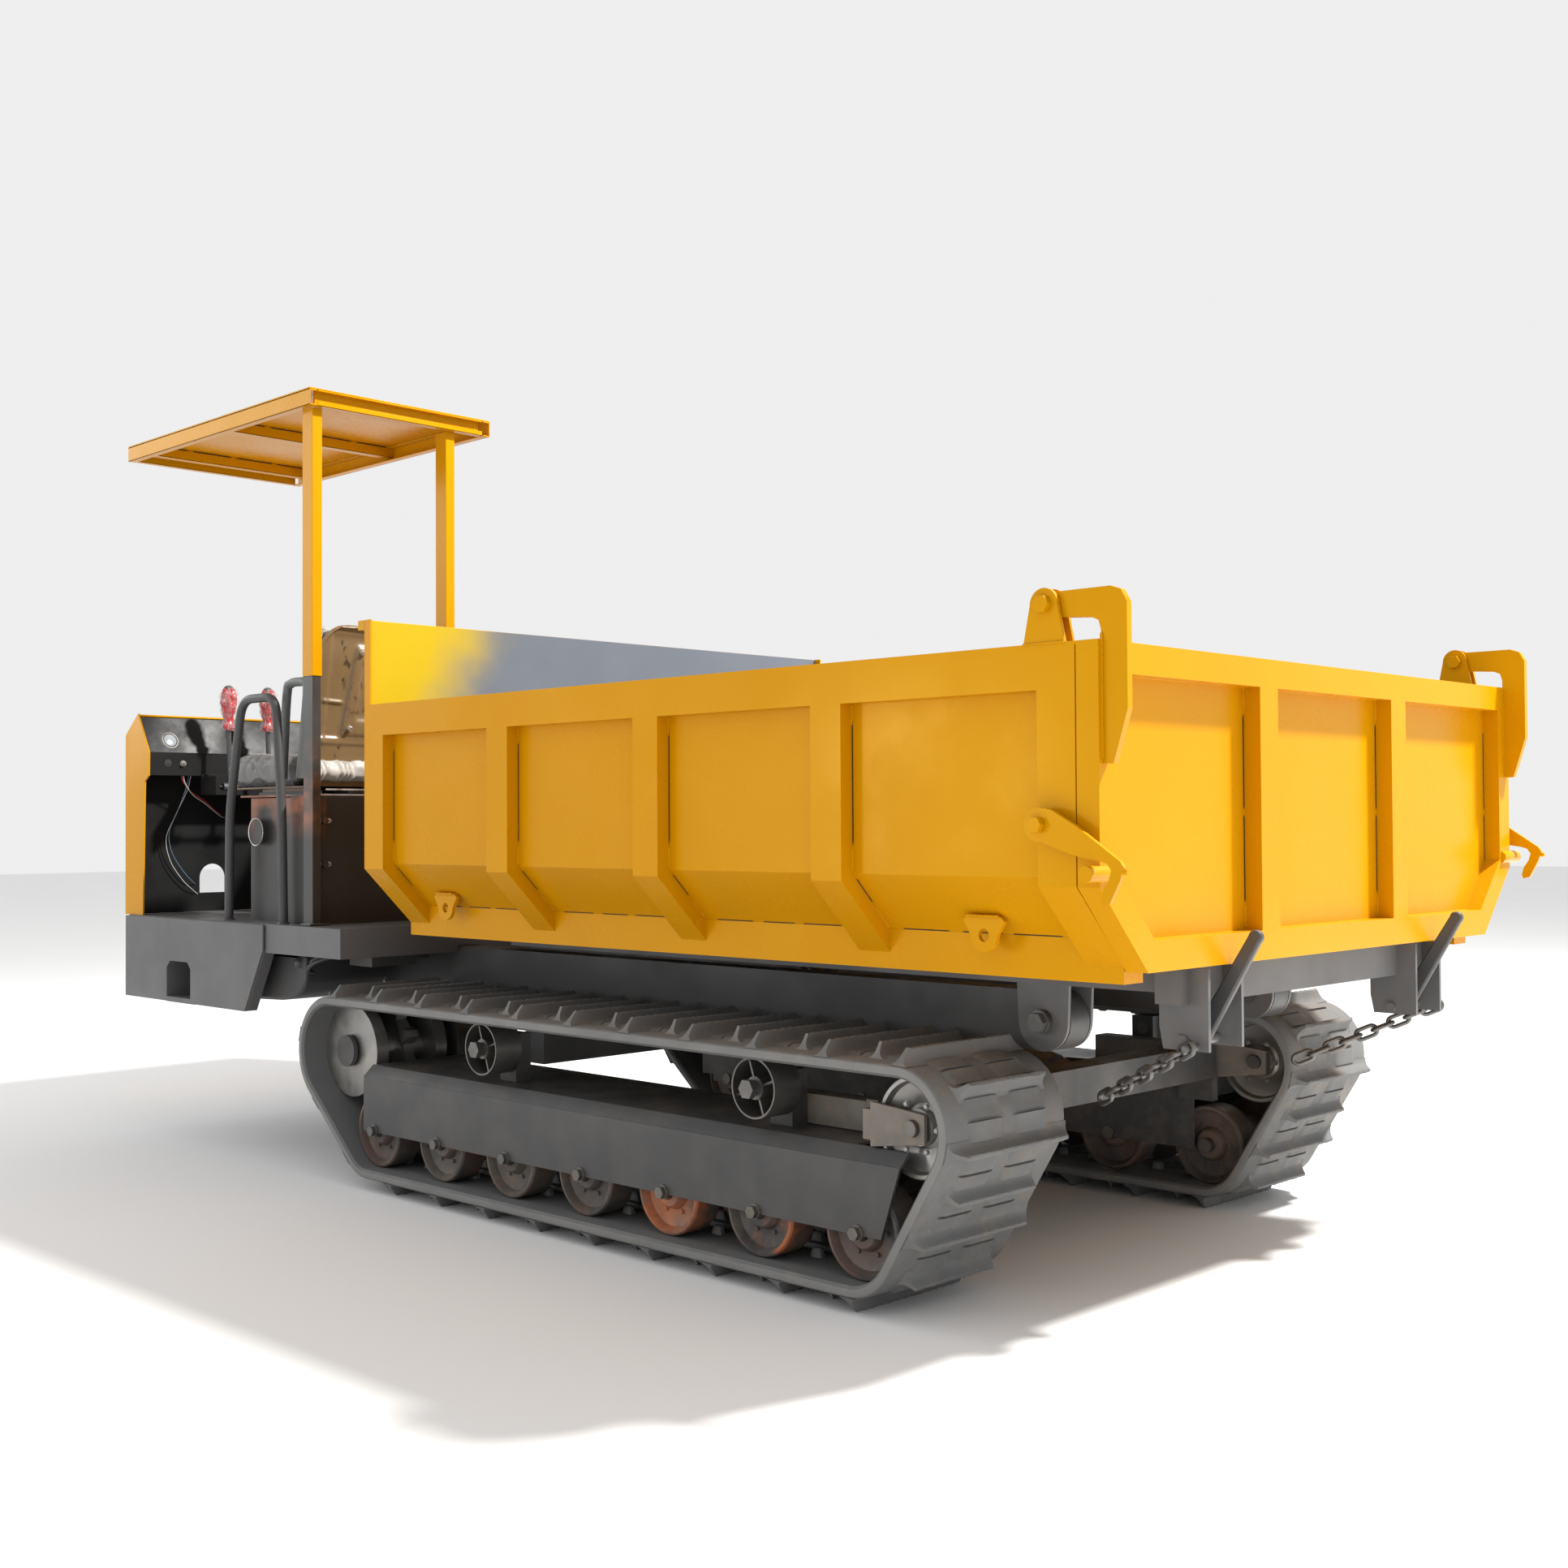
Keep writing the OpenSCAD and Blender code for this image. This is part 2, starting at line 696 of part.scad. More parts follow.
// Pressed seat pan with its upper rails
module seat_pan() {
    color(seat_brown) placed() {
        for (y = [470, 830]) block([2040, y - 14, 1299.5], [2380, y + 14, 1312]);
        block([2040, 440, 1312], [2560, 860, 1318]);
        side_plate(425, 875)
            polygon([[2034, 1318], [1990, 1370], [1934, 1890], [1942, 1891], [1998, 1374], [2040, 1324], [2040, 1318]]);
    }
}

module seat_cushion() {
    color(film_grey) placed() side_plate(420, 880)
        polygon([[2110, 1318], [2585, 1318], [2625, 1350], [2620, 1415], [2590, 1435], [2110, 1420]]);
}

module seat_back() {
    color(film_grey) placed() side_plate(430, 870)
        polygon([[1998, 1374], [2100, 1424], [2090, 1500], [2040, 1895], [1990, 1920], [1942, 1891]]);
}

module canopy() {
    x = [1790, 3140];
    y = [250, 1000];
    z = canopy_top - 60;
    color(yellow) placed() {
        // sheet
        block([x[0], y[0], canopy_top - 6], [x[1], y[1], canopy_top]);
        // rim channel
        difference() {
            block([x[0], y[0], z], [x[1], y[1], canopy_top - 5]);
            block([x[0] + 4, y[0] + 4, z - 1], [x[1] - 4, y[1] - 4, canopy_top]);
        }
        // cross members
        for (cx = [1855, 2440, 3060])
            block([cx - 20, y[0] + 3, z + 8], [cx + 20, y[1] - 3, canopy_top - 5]);
    }
}

// Yellow sleeves on black sockets that stand on the deck
module canopy_posts() {
    x = 1822;
    socket_top = 1690;
    color(yellow) placed() for (y = [385, 932])
        block([x, y, socket_top - 1], [x + post_depth, y + post_width, canopy_top - 60]);
    color(black) placed() for (y = [385, 932]) {
        block([x + 3, y + 3, deck_top], [x + post_depth - 3, y + post_width - 3, socket_top]);
        block([x - 20, y - 20, deck_top], [x + 42, y + post_width + 20, deck_top + 8]);
    }
}

// Grab rail: an upside-down U whose legs lean in from half height
grab_y = 960;
grab_bend = 60;
grab_foot = deck_top + 0.5;  // the leaning legs' ends are cut square
grab_corners = [[2412, grab_foot], [2405, 1230], [2318, 1632], [2082, 1632], [2040, 1230], [2028, grab_foot]];

function unit(v) = v / norm(v);
// A corner of the rail's middle line as an arc of short steps
function bend_points(a, b, c, reach) = [for (t = [0:0.2:1])
    let (p = b + unit(a - b) * reach, q = b + unit(c - b) * reach)
    p * pow(1 - t, 2) + b * 2 * t * (1 - t) + q * pow(t, 2)];
grab_path = concat(
    [grab_corners[0]],
    [for (i = [1:4]) each bend_points(grab_corners[i - 1], grab_corners[i], grab_corners[i + 1], grab_bend)],
    [grab_corners[5]]
);

// A closed tube of round section along points in X and Z, at one Y
module tube_xz(points, y, r, sides = 16) {
    n = len(points);
    rings = [for (i = [0:n - 1])
        let (d = unit(points[min(i + 1, n - 1)] - points[max(i - 1, 0)]))
        for (k = [0:sides - 1])
            let (c = r * cos(k * 360 / sides), s = r * sin(k * 360 / sides))
            [points[i][0] - d[1] * c, y + s, points[i][1] + d[0] * c]];
    walls = [for (i = [0:n - 2], k = [0:sides - 1])
        let (j = (k + 1) % sides)
        [i * sides + k, i * sides + j, (i + 1) * sides + j, (i + 1) * sides + k]];
    first = [for (k = [sides - 1:-1:0]) k];
    last = [for (k = [0:sides - 1]) (n - 1) * sides + k];
    polyhedron(rings, concat(walls, [first, last]));
}

module grab_rail() {
    color(black) placed() tube_xz(grab_path, grab_y, grab_dia / 2);
}

// Control lever with a wrapped knob, on a pivot tube under the dash
module left_control_lever() {
    control_lever(700);
}

module right_control_lever() {
    control_lever(530);
}

module control_lever(y) {
    foot = lever_foot;
    color(black) placed() {
        difference() {
            union() {
                bar_y(foot, 16, y - 30, y + 30);
                translate([foot[0], y, foot[1]]) rotate([0, 2, 0]) cylinder(r = 9, h = 300);
            }
            bar_y(foot, 8 + running, y - 31, y + 31);
        }
        translate([foot[0] + 10, y, foot[1] + 295]) cylinder(r = 22, h = 85);
        translate([foot[0] + 10, y, foot[1] + 380]) sphere(r = 22);
    }
}

// ---------- dump box ----------
skin_outer = [[-panel_y, box_top], [-panel_y, bend_panel], [-slope_y, floor_z],
              [slope_y, floor_z], [panel_y, bend_panel], [panel_y, box_top]];
skin_inner = [[-panel_y + plate, box_top + 1], [-panel_y + plate, bend_panel + 2],
              [-slope_y + 3, floor_z + plate], [slope_y - 3, floor_z + plate],
              [panel_y - plate, bend_panel + 2], [panel_y - plate, box_top + 1]];

module dump_box() {
    color(yellow) placed() {
        cross_plate(-half_l, half_l - plate + 1) difference() {
            polygon(skin_outer);
            polygon(skin_inner);
        }
        cross_plate(half_l - plate, half_l)
            polygon([[-half_w, headboard_top], [-half_w, box_bend], [-rail_y, 860], [-rail_y, rail_bottom],
                     [rail_y, rail_bottom], [rail_y, 860], [half_w, box_bend], [half_w, headboard_top]]);
    }
}

rib_section = [[panel_y, box_top], [half_w, box_top], [half_w, box_bend], [rail_y, 860],
               [slope_y, floor_z], [panel_y, bend_panel]];
rib_starts = [-half_l, -697, -38, 619, half_l - plate - rib_width];

module box_ribs() {
    edge_flange = 30;
    color(yellow) placed() {
        both_sides() {
            for (x = rib_starts) cross_plate(x, x + rib_width) polygon(rib_section);
            // top rail and bottom rail
            block([-half_l, panel_y, box_top - 100], [half_l - plate, half_w, box_top]);
            cross_plate(-half_l, half_l - plate)
                polygon([[800, rail_bottom], [rail_y, rail_bottom], [rail_y, 918],
                         [slope_y, floor_z], [800, floor_z]]);
            // upright edges of the headboard
            block([half_l - plate - edge_flange, half_w - 6, box_top], [half_l - plate, half_w, headboard_top]);
            hinge_ears();
            // securing ears on the slanted wall
            for (x = [-1030, 1100]) side_plate(918, 930) difference() {
                union() {
                    translate([x, 917]) circle(38);
                    polygon([[x - 38, 917], [x - 60, 950], [x - 46, 962], [x + 46, 962], [x + 60, 950], [x + 38, 917]]);
                }
                translate([x, 917]) circle(15);
            }
        }
        // stiffeners on the front of the headboard
        for (y = [-700, -40, 620]) block([half_l, y, floor_z], [half_l + 40, y + 80, headboard_top - 30]);
        block([half_l, -half_w, headboard_top - 31], [half_l + 36, half_w, headboard_top]);
    }
}

// Ears of the tailgate hinge, standing on the top rail
module hinge_ears() {
    foot = 54;
    for (y = [[1040, 1050], [panel_y, 1016]]) side_plate(y[0], y[1]) difference() {
        union() {
            translate(gate_at) circle(36);
            polygon([[gate_at[0] - foot, box_top - 1], [gate_at[0] + foot, box_top - 1],
                     [gate_at[0] + 36, gate_at[1]], [gate_at[0] - 36, gate_at[1]]]);
        }
        translate(gate_at) circle(12);
    }
}

module hinge_bolts() {
    color(yellow) placed() both_sides() {
        bar_y(gate_at, 12, 1000, 1050);
        hex_y(gate_at, 36, 1050, 1064);
        hex_y(gate_at, 36, 997, panel_y);
        // pivot studs of the side latches
        bar_y(latch_at, 24, half_w, 1073);
        bar_y(latch_at, 11, half_w, 1096);
        hex_y(latch_at, 32, 1086, 1102);
    }
}

module box_subframe() {
    beam = [500, 600];
    low = 778;
    ear_r = 75;
    bracket = [[-1420, 650], [-1300, 650], [-1290, 700], [-1290, 840], [-1420, 840]];
    color(black) placed() {
        both_sides() {
            block([-1330, beam[0], low], [1200, beam[1], floor_z]);
            // block and ears round the tipping pivot
            block([-1000, 446, low + 12], [-840, beam[0] + 1, floor_z]);
            for (y = [446, 544]) side_plate(y, y + 10) difference() {
                union() {
                    translate(tilt_at) circle(ear_r);
                    polygon([[-1000, low + 14], [-995, tilt_at[1]], [-845, tilt_at[1]], [-840, low + 14]]);
                }
                translate(tilt_at) circle(30 + running);
            }
            // brackets of the release prongs
            for (y = [450, 596]) side_plate(y, y + 10) difference() {
                polygon(bracket);
                translate(prong_at) circle(12);
            }
            bar_y(prong_at, 12, 440, 610);
            hex_y(prong_at, 34, 606, 612);
            // peg that carries the rear end of a release chain
            bar_y(chain_from + unit(chain_to - chain_from) * 8, 7, 605, 664);
        }
        // rear cross beam and the bearers under the floor
        block([-1370, -640, 756], [-1300, 640, 840]);
        for (x = [-1150, -700, -250, 200, 640, 1080])
            block([x - 30, -800, 830], [x + 30, 800, floor_z]);
        // cheeks for the lift cylinder's head
        for (y = [-56, 44]) side_plate(y, y + 12)
            polygon([[370, floor_z], [410, 690], [490, 690], [530, floor_z]]);
        for (x = [380, 510]) block([x - 12, -501, 840], [x + 12, 501, floor_z]);
    }
}

// ---------- tailgate ----------
gate_outline = [[-half_w, box_top], [-half_w, box_bend], [-870, gate_foot],
                [870, gate_foot], [half_w, box_bend], [half_w, box_top]];
gate_window = [[-980, box_top - 68], [-980, box_bend + 22], [-842, 918],
               [842, 918], [980, box_bend + 22], [980, box_top - 68]];

module tailgate() {
    rib_at = 340;
    color(yellow) placed() difference() {
        union() {
            cross_plate(gate_rear, gate_front) difference() {
                polygon(gate_outline);
                polygon(gate_window);
            }
            cross_plate(gate_panel, gate_panel + plate) polygon(gate_outline);
            for (y = [-rib_at, rib_at])
                block([gate_rear, y - 42, 900], [gate_panel + 1, y + 42, box_top - 60]);
            both_sides() {
                // arm plates that carry the gate from its hinge
                side_plate(1018, 1036)
                    polygon([[gate_at[0], 1673], [-1455, 1673], [-1481, 1664], [-1496, 1637], [-1496, 1413],
                             [-1460, 1299], [gate_rear + 2, 1299], [gate_rear + 2, 1583], [-1425, 1603],
                             [-1406, 1611], [gate_at[0], 1619]]);
                bar_y(gate_at, 27, 1018, 1036);
                // pins that the side latches hold
                bar_y(gate_pin_at, 18, half_w - 60, 1098);
            }
        }
        both_sides() bar_y(gate_at, 12 + running, 1010, 1045);
    }
}

module left_latch_lever() {
    latch_lever(1);
}

module right_latch_lever() {
    latch_lever(-1);
}

module latch_lever(side) {
    color(yellow) placed() on_side(side) {
        side_plate(1074, 1085) difference() {
            union() {
                translate(latch_at) circle(37);
                polygon([[-1315, 1207], [-1335, 1202], [-1396, 1169], [-1505, 1096], [-1515, 1083],
                         [-1506, 1056], [-1480, 1007], [-1462, 1003], [-1458, 1014], [-1464, 1036],
                         [-1478, 1056], [-1484, 1076], [-1474, 1090], [-1453, 1096], [-1410, 1102],
                         [-1367, 1114], [-1307, 1134]]);
            }
            translate(latch_at) circle(11 + running);
        }
        // peg on the hook's corner
        translate([-1500, 1079, 1073]) rotate([0, -90, 0]) cylinder(r = 6, h = 22);
    }
}

module left_release_prong() {
    release_prong(1);
}

module right_release_prong() {
    release_prong(-1);
}

module release_prong(side) {
    tip = [-1500, 912];
    d = tip - prong_at;
    n = [-d[1], d[0]] / norm(d) * 16;
    color(black) placed() on_side(side) side_plate(520, 540) difference() {
        union() {
            translate(prong_at) circle(24);
            translate(tip) circle(17);
            polygon([prong_at - n * 1.4, tip - n, tip + n, prong_at + n * 1.4]);
        }
        translate(prong_at) circle(12 + running);
    }
}

// Release chains: links turned a quarter about the chain's run by turns
chain_from = [-1398, 664];
chain_to = [-1010, 492];
module chain_link(wire, long, wide) {
    straight = long - wide;
    for (s = [-1, 1]) {
        translate([-straight / 2, s * (wide - wire) / 2, 0]) rotate([0, 90, 0])
            cylinder(r = wire / 2, h = straight, $fn = 16);
        translate([s * straight / 2, 0, 0]) rotate(s * 90 - 90) rotate([0, 0, -90])
            rotate_extrude(angle = 180, $fn = 24)
                translate([(wide - wire) / 2, 0]) circle(wire / 2, $fn = 16);
    }
}

module release_chains() {
    links = 9;
    wire = 12;
    run = chain_to - chain_from;
    pitch = norm(run) / links;
    color(iron) placed() both_sides() for (k = [0:links - 1])
        translate([chain_from[0], 643, chain_from[1]])
            rotate([0, 0, -24]) rotate([0, -atan2(run[1], run[0]), 0])
                translate([(k + 0.5) * pitch, 0, 0]) rotate([(k + 1) % 2 * 90, 0, 0])
                    chain_link(wire, pitch + 2 * wire + 1, 40);
}

// ---------- lift cylinder ----------
module cylinder_frame() {
    translate([cyl_foot[0], 0, cyl_foot[1]]) rotate([0, 90 - cyl_angle, 0]) children();
}

module cylinder_barrel() {
    barrel_len = 700;
    color(black) placed() cylinder_frame() difference() {
        union() {
            cylinder(r = 55, h = barrel_len);
            rotate([90, 0, 0]) translate([0, 0, -52]) cylinder(r = 38, h = 104);
        }
        translate([0, 0, 80]) cylinder(r = 45, h = barrel_len - 120);
        translate([0, 0, 100]) cylinder(r = 30 + running, h = barrel_len);
        rotate([90, 0, 0]) translate([0, 0, -60]) cylinder(r = 22 + running, h = 120);
    }
}

module cylinder_rod() {
    rod_len = 740;
    color(steel) placed() cylinder_frame() translate([0, 0, cyl_len]) {
        translate([0, 0, -rod_len]) cylinder(r = 30, h = rod_len - 20);
        translate([0, 0, -rod_len]) cylinder(r = 45 - running, h = 40);
        rotate([90, 0, 0]) translate([0, 0, -32]) cylinder(r = 36, h = 64);
    }
}

rollers = 7;
carriers = 2;

left_track_belt();
right_track_belt();
track_frames();
track_covers();
idler_yokes();
drive_motors();
axles_and_pins();
left_drive_sprocket();
right_drive_sprocket();
left_idler_wheel();
right_idler_wheel();
for (n = [1:rollers]) {
    bottom_roller(1, n);
    bottom_roller(-1, n);
}
for (n = [1:carriers]) {
    carrier_roller(1, n);
    carrier_roller(-1, n);
}
chassis_frame();
deck();
step_skirts();
hydraulic_tank();
pump_block();
engine();
engine_hood();
engine_bay();
cowl();
cowl_plates();
seat_box();
seat_pan();
seat_cushion();
seat_back();
canopy();
canopy_posts();
grab_rail();
left_control_lever();
right_control_lever();
dump_box();
box_ribs();
hinge_bolts();
box_subframe();
tailgate();
left_latch_lever();
right_latch_lever();
left_release_prong();
right_release_prong();
release_chains();
cylinder_barrel();
cylinder_rod();
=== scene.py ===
"""Looks for the tracked grain cart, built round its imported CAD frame. Metres, +X forward, +Z up."""

import json
import math
import random

import bmesh
import bpy
from mathutils import Matrix, Vector, noise


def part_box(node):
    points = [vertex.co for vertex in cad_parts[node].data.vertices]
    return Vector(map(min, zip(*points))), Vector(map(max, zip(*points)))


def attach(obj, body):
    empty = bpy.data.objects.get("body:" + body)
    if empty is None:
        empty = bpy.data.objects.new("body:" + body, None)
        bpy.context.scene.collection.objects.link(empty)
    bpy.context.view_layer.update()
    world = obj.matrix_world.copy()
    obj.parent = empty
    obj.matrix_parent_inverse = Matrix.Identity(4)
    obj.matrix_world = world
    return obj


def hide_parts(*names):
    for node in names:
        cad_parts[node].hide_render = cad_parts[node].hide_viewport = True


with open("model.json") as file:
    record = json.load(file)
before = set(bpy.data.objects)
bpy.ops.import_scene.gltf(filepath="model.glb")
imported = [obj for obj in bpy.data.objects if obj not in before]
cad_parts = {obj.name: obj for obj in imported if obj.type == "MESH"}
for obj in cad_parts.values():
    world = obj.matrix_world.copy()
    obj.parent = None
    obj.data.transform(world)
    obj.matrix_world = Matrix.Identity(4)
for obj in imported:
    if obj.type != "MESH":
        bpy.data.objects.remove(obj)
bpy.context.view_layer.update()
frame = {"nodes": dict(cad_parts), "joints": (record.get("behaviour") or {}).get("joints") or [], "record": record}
random.seed(11)

JOINT = {j["name"]: j for j in frame["joints"]}
BODY_OF = {n: b for b, ns in frame["record"]["behaviour"]["bodies"].items() for n in ns}
SLOT_OF = {s["node"]: s["material_slot"] for s in frame["record"]["subparts"]}
UP = Vector((0, 0, 1))
SIDES = {"left": 1, "right": -1}


# ---------- materials ----------
class Shade:
    """A Principled material whose colours, dirt and bumps come from noise in the row frame."""

    def __init__(self, name, **values):
        self.material = bpy.data.materials.new(name)
        self.material.use_nodes = True
        tree = self.material.node_tree
        self.nodes, self.links = tree.nodes, tree.links
        self.shader = self.nodes["Principled BSDF"]
        self.place = self.nodes.new("ShaderNodeTexCoord").outputs["Object"]
        self.set(**values)

    def set(self, **values):
        for key, value in values.items():
            self.shader.inputs[key.replace("_", " ")].default_value = value

    def add(self, kind, **settings):
        node = self.nodes.new("ShaderNode" + kind)
        for key, value in settings.items():
            setattr(node, key, value)
        return node

    def feed(self, socket, value):
        if isinstance(value, (int, float, tuple)):
            socket.default_value = value
        else:
            self.links.new(value, socket)

    def noise(self, scale, detail=4.0, roughness=0.6, stretch=None, distortion=0.0):
        node = self.add("TexNoise")
        node.inputs["Scale"].default_value = scale
        node.inputs["Detail"].default_value = detail
        node.inputs["Roughness"].default_value = roughness
        node.inputs["Distortion"].default_value = distortion
        self.links.new(self.stretched(stretch), node.inputs["Vector"])
        return node.outputs["Fac"]

    def stretched(self, stretch):
        if stretch is None:
            return self.place
        mapping = self.add("Mapping")
        mapping.inputs["Scale"].default_value = stretch
        self.links.new(self.place, mapping.inputs["Vector"])
        return mapping.outputs["Vector"]

    def cells(self, scale, feature="DISTANCE_TO_EDGE"):
        node = self.add("TexVoronoi", feature=feature)
        node.inputs["Scale"].default_value = scale
        self.links.new(self.place, node.inputs["Vector"])
        return node.outputs["Distance"]

    def axis(self, letter, normal=False):
        split = self.add("SeparateXYZ")
        source = self.add("NewGeometry").outputs["Normal"] if normal else self.place
        self.links.new(source, split.inputs[0])
        return split.outputs[letter]

    def span(self, value, low, high, out_low=0.0, out_high=1.0):
        node = self.add("MapRange", interpolation_type="SMOOTHSTEP")
        self.feed(node.inputs["Value"], value)
        for key, number in zip(("From Min", "From Max", "To Min", "To Max"),
                (low, high, out_low, out_high)):
            node.inputs[key].default_value = number
        return node.outputs["Result"]

    def math(self, operation, a, b=0.0):
        node = self.add("Math", operation=operation, use_clamp=operation != "SUBTRACT")
        self.feed(node.inputs[0], a)
        self.feed(node.inputs[1], b)
        return node.outputs[0]

    def mix(self, factor, a, b):
        node = self.add("Mix", data_type="RGBA")
        self.feed(node.inputs["Factor"], factor)
        self.feed(node.inputs[6], rgba(a))
        self.feed(node.inputs[7], rgba(b))
        return node.outputs[2]

    def colour(self, value):
        self.feed(self.shader.inputs["Base Color"], rgba(value))
        return self

    def rough(self, value):
        self.feed(self.shader.inputs["Roughness"], value)
        return self

    def rough_between(self, low, high, *grain):
        return self.rough(self.span(self.noise(*grain), 0.3, 0.7, low, high))

    def bump(self, height, strength, distance):
        node = self.add("Bump")
        node.inputs["Strength"].default_value = strength
        node.inputs["Distance"].default_value = distance
        self.links.new(height, node.inputs["Height"])
        old = self.shader.inputs["Normal"].links
        if old:
            self.links.new(old[0].from_socket, node.inputs["Normal"])
        self.links.new(node.outputs["Normal"], self.shader.inputs["Normal"])
        return self


def rgba(c):
    return (*c, 1.0) if isinstance(c, tuple) and len(c) == 3 else c


DUST = (0.30, 0.23, 0.16)
YELLOW_DEEP = (0.54, 0.228, 0.0008)
YELLOW = (0.62, 0.285, 0.0012)
PRIMER = (0.115, 0.130, 0.160)


def dust_mask(s, top_height, amount=0.5):
    """Dust that gathers low down and on what faces up."""
    low = s.span(s.axis("Z"), 0.0, top_height, 1.0, 0.0)
    flat = s.span(s.axis("Z", normal=True), 0.5, 1.0, 0.0, 0.8)
    patches = s.span(s.noise(7.0, 6.0, 0.7), 0.38, 0.72)
    return s.math("MULTIPLY", s.math("MULTIPLY", s.math("ADD", low, flat), patches), amount)


def yellow_paint(name, wave=0.5):
    s = Shade(name, Specular_IOR_Level=0.42, Specular_Tint=(1.0, 0.66, 0.06, 1.0))
    base = s.mix(s.noise(1.3, 3.0), YELLOW_DEEP, YELLOW)
    s.colour(s.mix(dust_mask(s, 1.1, 0.16), base, (0.40, 0.24, 0.07)))
    s.rough_between(0.20, 0.34, 3.0, 5.0)
    s.bump(s.noise(2.6, 2.0, 0.4), wave, 0.006)
    s.bump(s.noise(420.0, 2.0), 0.05, 0.0006)
    return s.material


def black_paint(name, tone=0.045, dust=0.35, top_height=1.0, gloss=0.45):
    s = Shade(name, Specular_IOR_Level=gloss)
    base = s.mix(s.noise(2.2, 4.0), (tone * 0.8,) * 3, (tone * 1.25, tone * 1.25, tone * 1.3))
    s.colour(s.mix(dust_mask(s, top_height, dust), base, DUST))
    s.rough_between(0.34, 0.56, 5.0, 6.0)
    s.bump(s.noise(3.2, 2.0, 0.4), 0.35, 0.004)
    s.bump(s.noise(260.0, 3.0), 0.12, 0.0006)
    return s.material


def dusty_rubber_painted_side_light():
    s = Shade("dusty_rubber_painted_side_light", Specular_IOR_Level=0.35)
    base = s.mix(s.noise(4.0, 5.0), (0.105, 0.110, 0.112), (0.155, 0.156, 0.156))
    streaks = s.span(s.noise(9.0, 8.0, 0.75, distortion=0.6), 0.46, 0.72)
    low = s.math("MULTIPLY", streaks, s.span(s.axis("X"), -2.2, 0.6, 0.55, 0.15))
    # Painted light: faces that look across the machine, the belt's sides, are mixed towards a lighter grey,
    # mottled by noise, standing in for light on their shaded faces.
    across = s.axis("Y", normal=True)
    side = s.math("MULTIPLY", s.span(s.math("MULTIPLY", across, across), 0.5, 0.9, 0.0, 0.35),
        s.span(s.noise(3.0, 6.0), 0.30, 0.62, 0.45, 1.0))
    s.colour(s.mix(side, s.mix(low, base, (0.22, 0.175, 0.135)), (0.34, 0.33, 0.31)))
    s.rough_between(0.58, 0.85, 14.0, 6.0)
    s.bump(s.noise(60.0, 6.0, 0.7), 0.35, 0.0012)
    s.bump(s.noise(700.0, 2.0), 0.2, 0.0003)
    return s.material


def metal(name, tone, rough, dust=0.5, metallic=0.85, tint=(1.0, 0.98, 0.95), height=0.8):
    s = Shade(name, Metallic=metallic, Specular_IOR_Level=0.5)
    dark = tuple(tone * 0.75 * t for t in tint)
    light = tuple(tone * 1.2 * t for t in tint)
    base = s.mix(s.noise(11.0, 6.0), dark, light)
    s.colour(s.mix(dust_mask(s, height, dust), base, DUST))
    s.rough_between(rough, rough + 0.22, 18.0, 6.0)
    s.bump(s.noise(150.0, 5.0), 0.2, 0.0006)
    return s.material


def roller_iron(name, primer):
    """Black roller paint, dusty, with orange primer showing through on some."""
    s = Shade(name, Specular_IOR_Level=0.5)
    base = s.mix(s.noise(5.0, 4.0), (0.035, 0.034, 0.034), (0.075, 0.072, 0.07))
    worn = s.math("MULTIPLY", s.span(s.noise(6.0, 5.0), 0.40, 0.62), primer)
    base = s.mix(worn, base, (0.45, 0.12, 0.03))
    s.colour(s.mix(dust_mask(s, 0.9, 0.35), base, DUST))
    s.rough_between(0.4, 0.7, 9.0, 6.0)
    s.bump(s.noise(90.0, 6.0), 0.3, 0.001)
    return s.material


def primer_inside():
    """Grey primer inside the box, with yellow overspray that fades in from the near wall."""
    s = Shade("box_primer", Specular_IOR_Level=0.18)
    base = s.mix(s.noise(2.0, 5.0), PRIMER, (0.150, 0.165, 0.195))
    reach = s.math("ADD", s.axis("Y"), s.span(s.noise(2.5, 3.0), 0.2, 0.8, 0.0, 0.16))
    reach = s.math("ADD", reach, s.span(s.axis("Z"), 1.45, 1.85, -0.05, 0.12))
    near = s.span(reach, 0.62, 0.99)
    spots = s.span(s.cells(26.0, "F1"), 0.02, 0.05, 0.5, 0.0)
    base = s.mix(s.math("MULTIPLY", spots, s.span(s.noise(3.0), 0.5, 0.7)), base, (0.12, 0.13, 0.14))
    s.colour(s.mix(near, base, (0.50, 0.34, 0.002)))
    s.rough_between(0.4, 0.58, 4.0, 5.0)
    s.bump(s.noise(3.0, 2.0), 0.3, 0.004)
    return s.material


def rusty_black(name):
    """Black paint over primer, with an orange tint where the coat is thin near the top."""
    s = Shade(name, Specular_IOR_Level=0.5, Coat_Weight=0.2, Coat_Roughness=0.25)
    base = s.mix(s.noise(2.0, 4.0), (0.022, 0.021, 0.020), (0.040, 0.038, 0.037))
    band = s.math("MULTIPLY", s.span(s.axis("Z"), 1.12, 1.24), s.span(s.axis("Z"), 1.5, 1.32))
    thin = s.math("MULTIPLY", band, s.span(s.noise(5.0, 4.0), 0.35, 0.62))
    thin = s.math("MULTIPLY", thin, s.span(s.axis("Y"), 0.885, 0.90))
    s.colour(s.mix(s.math("MULTIPLY", thin, 0.8), base, (0.36, 0.12, 0.045)))
    s.rough_between(0.3, 0.48, 5.0, 5.0)
    s.bump(s.noise(240.0, 3.0), 0.1, 0.0005)
    return s.material


def plastic(name, colour, rough=0.4, alpha=1.0, transmission=0.0):
    s = Shade(name, Specular_IOR_Level=0.55, Alpha=alpha, Transmission_Weight=transmission)
    s.colour(s.mix(s.noise(30.0, 4.0), tuple(c * 0.8 for c in colour),
        tuple(min(1, c * 1.15) for c in colour)))
    s.rough_between(rough * 0.8, rough * 1.2, 40.0, 4.0)
    s.bump(s.noise(120.0, 4.0), 0.15, 0.0006)
    return s.material


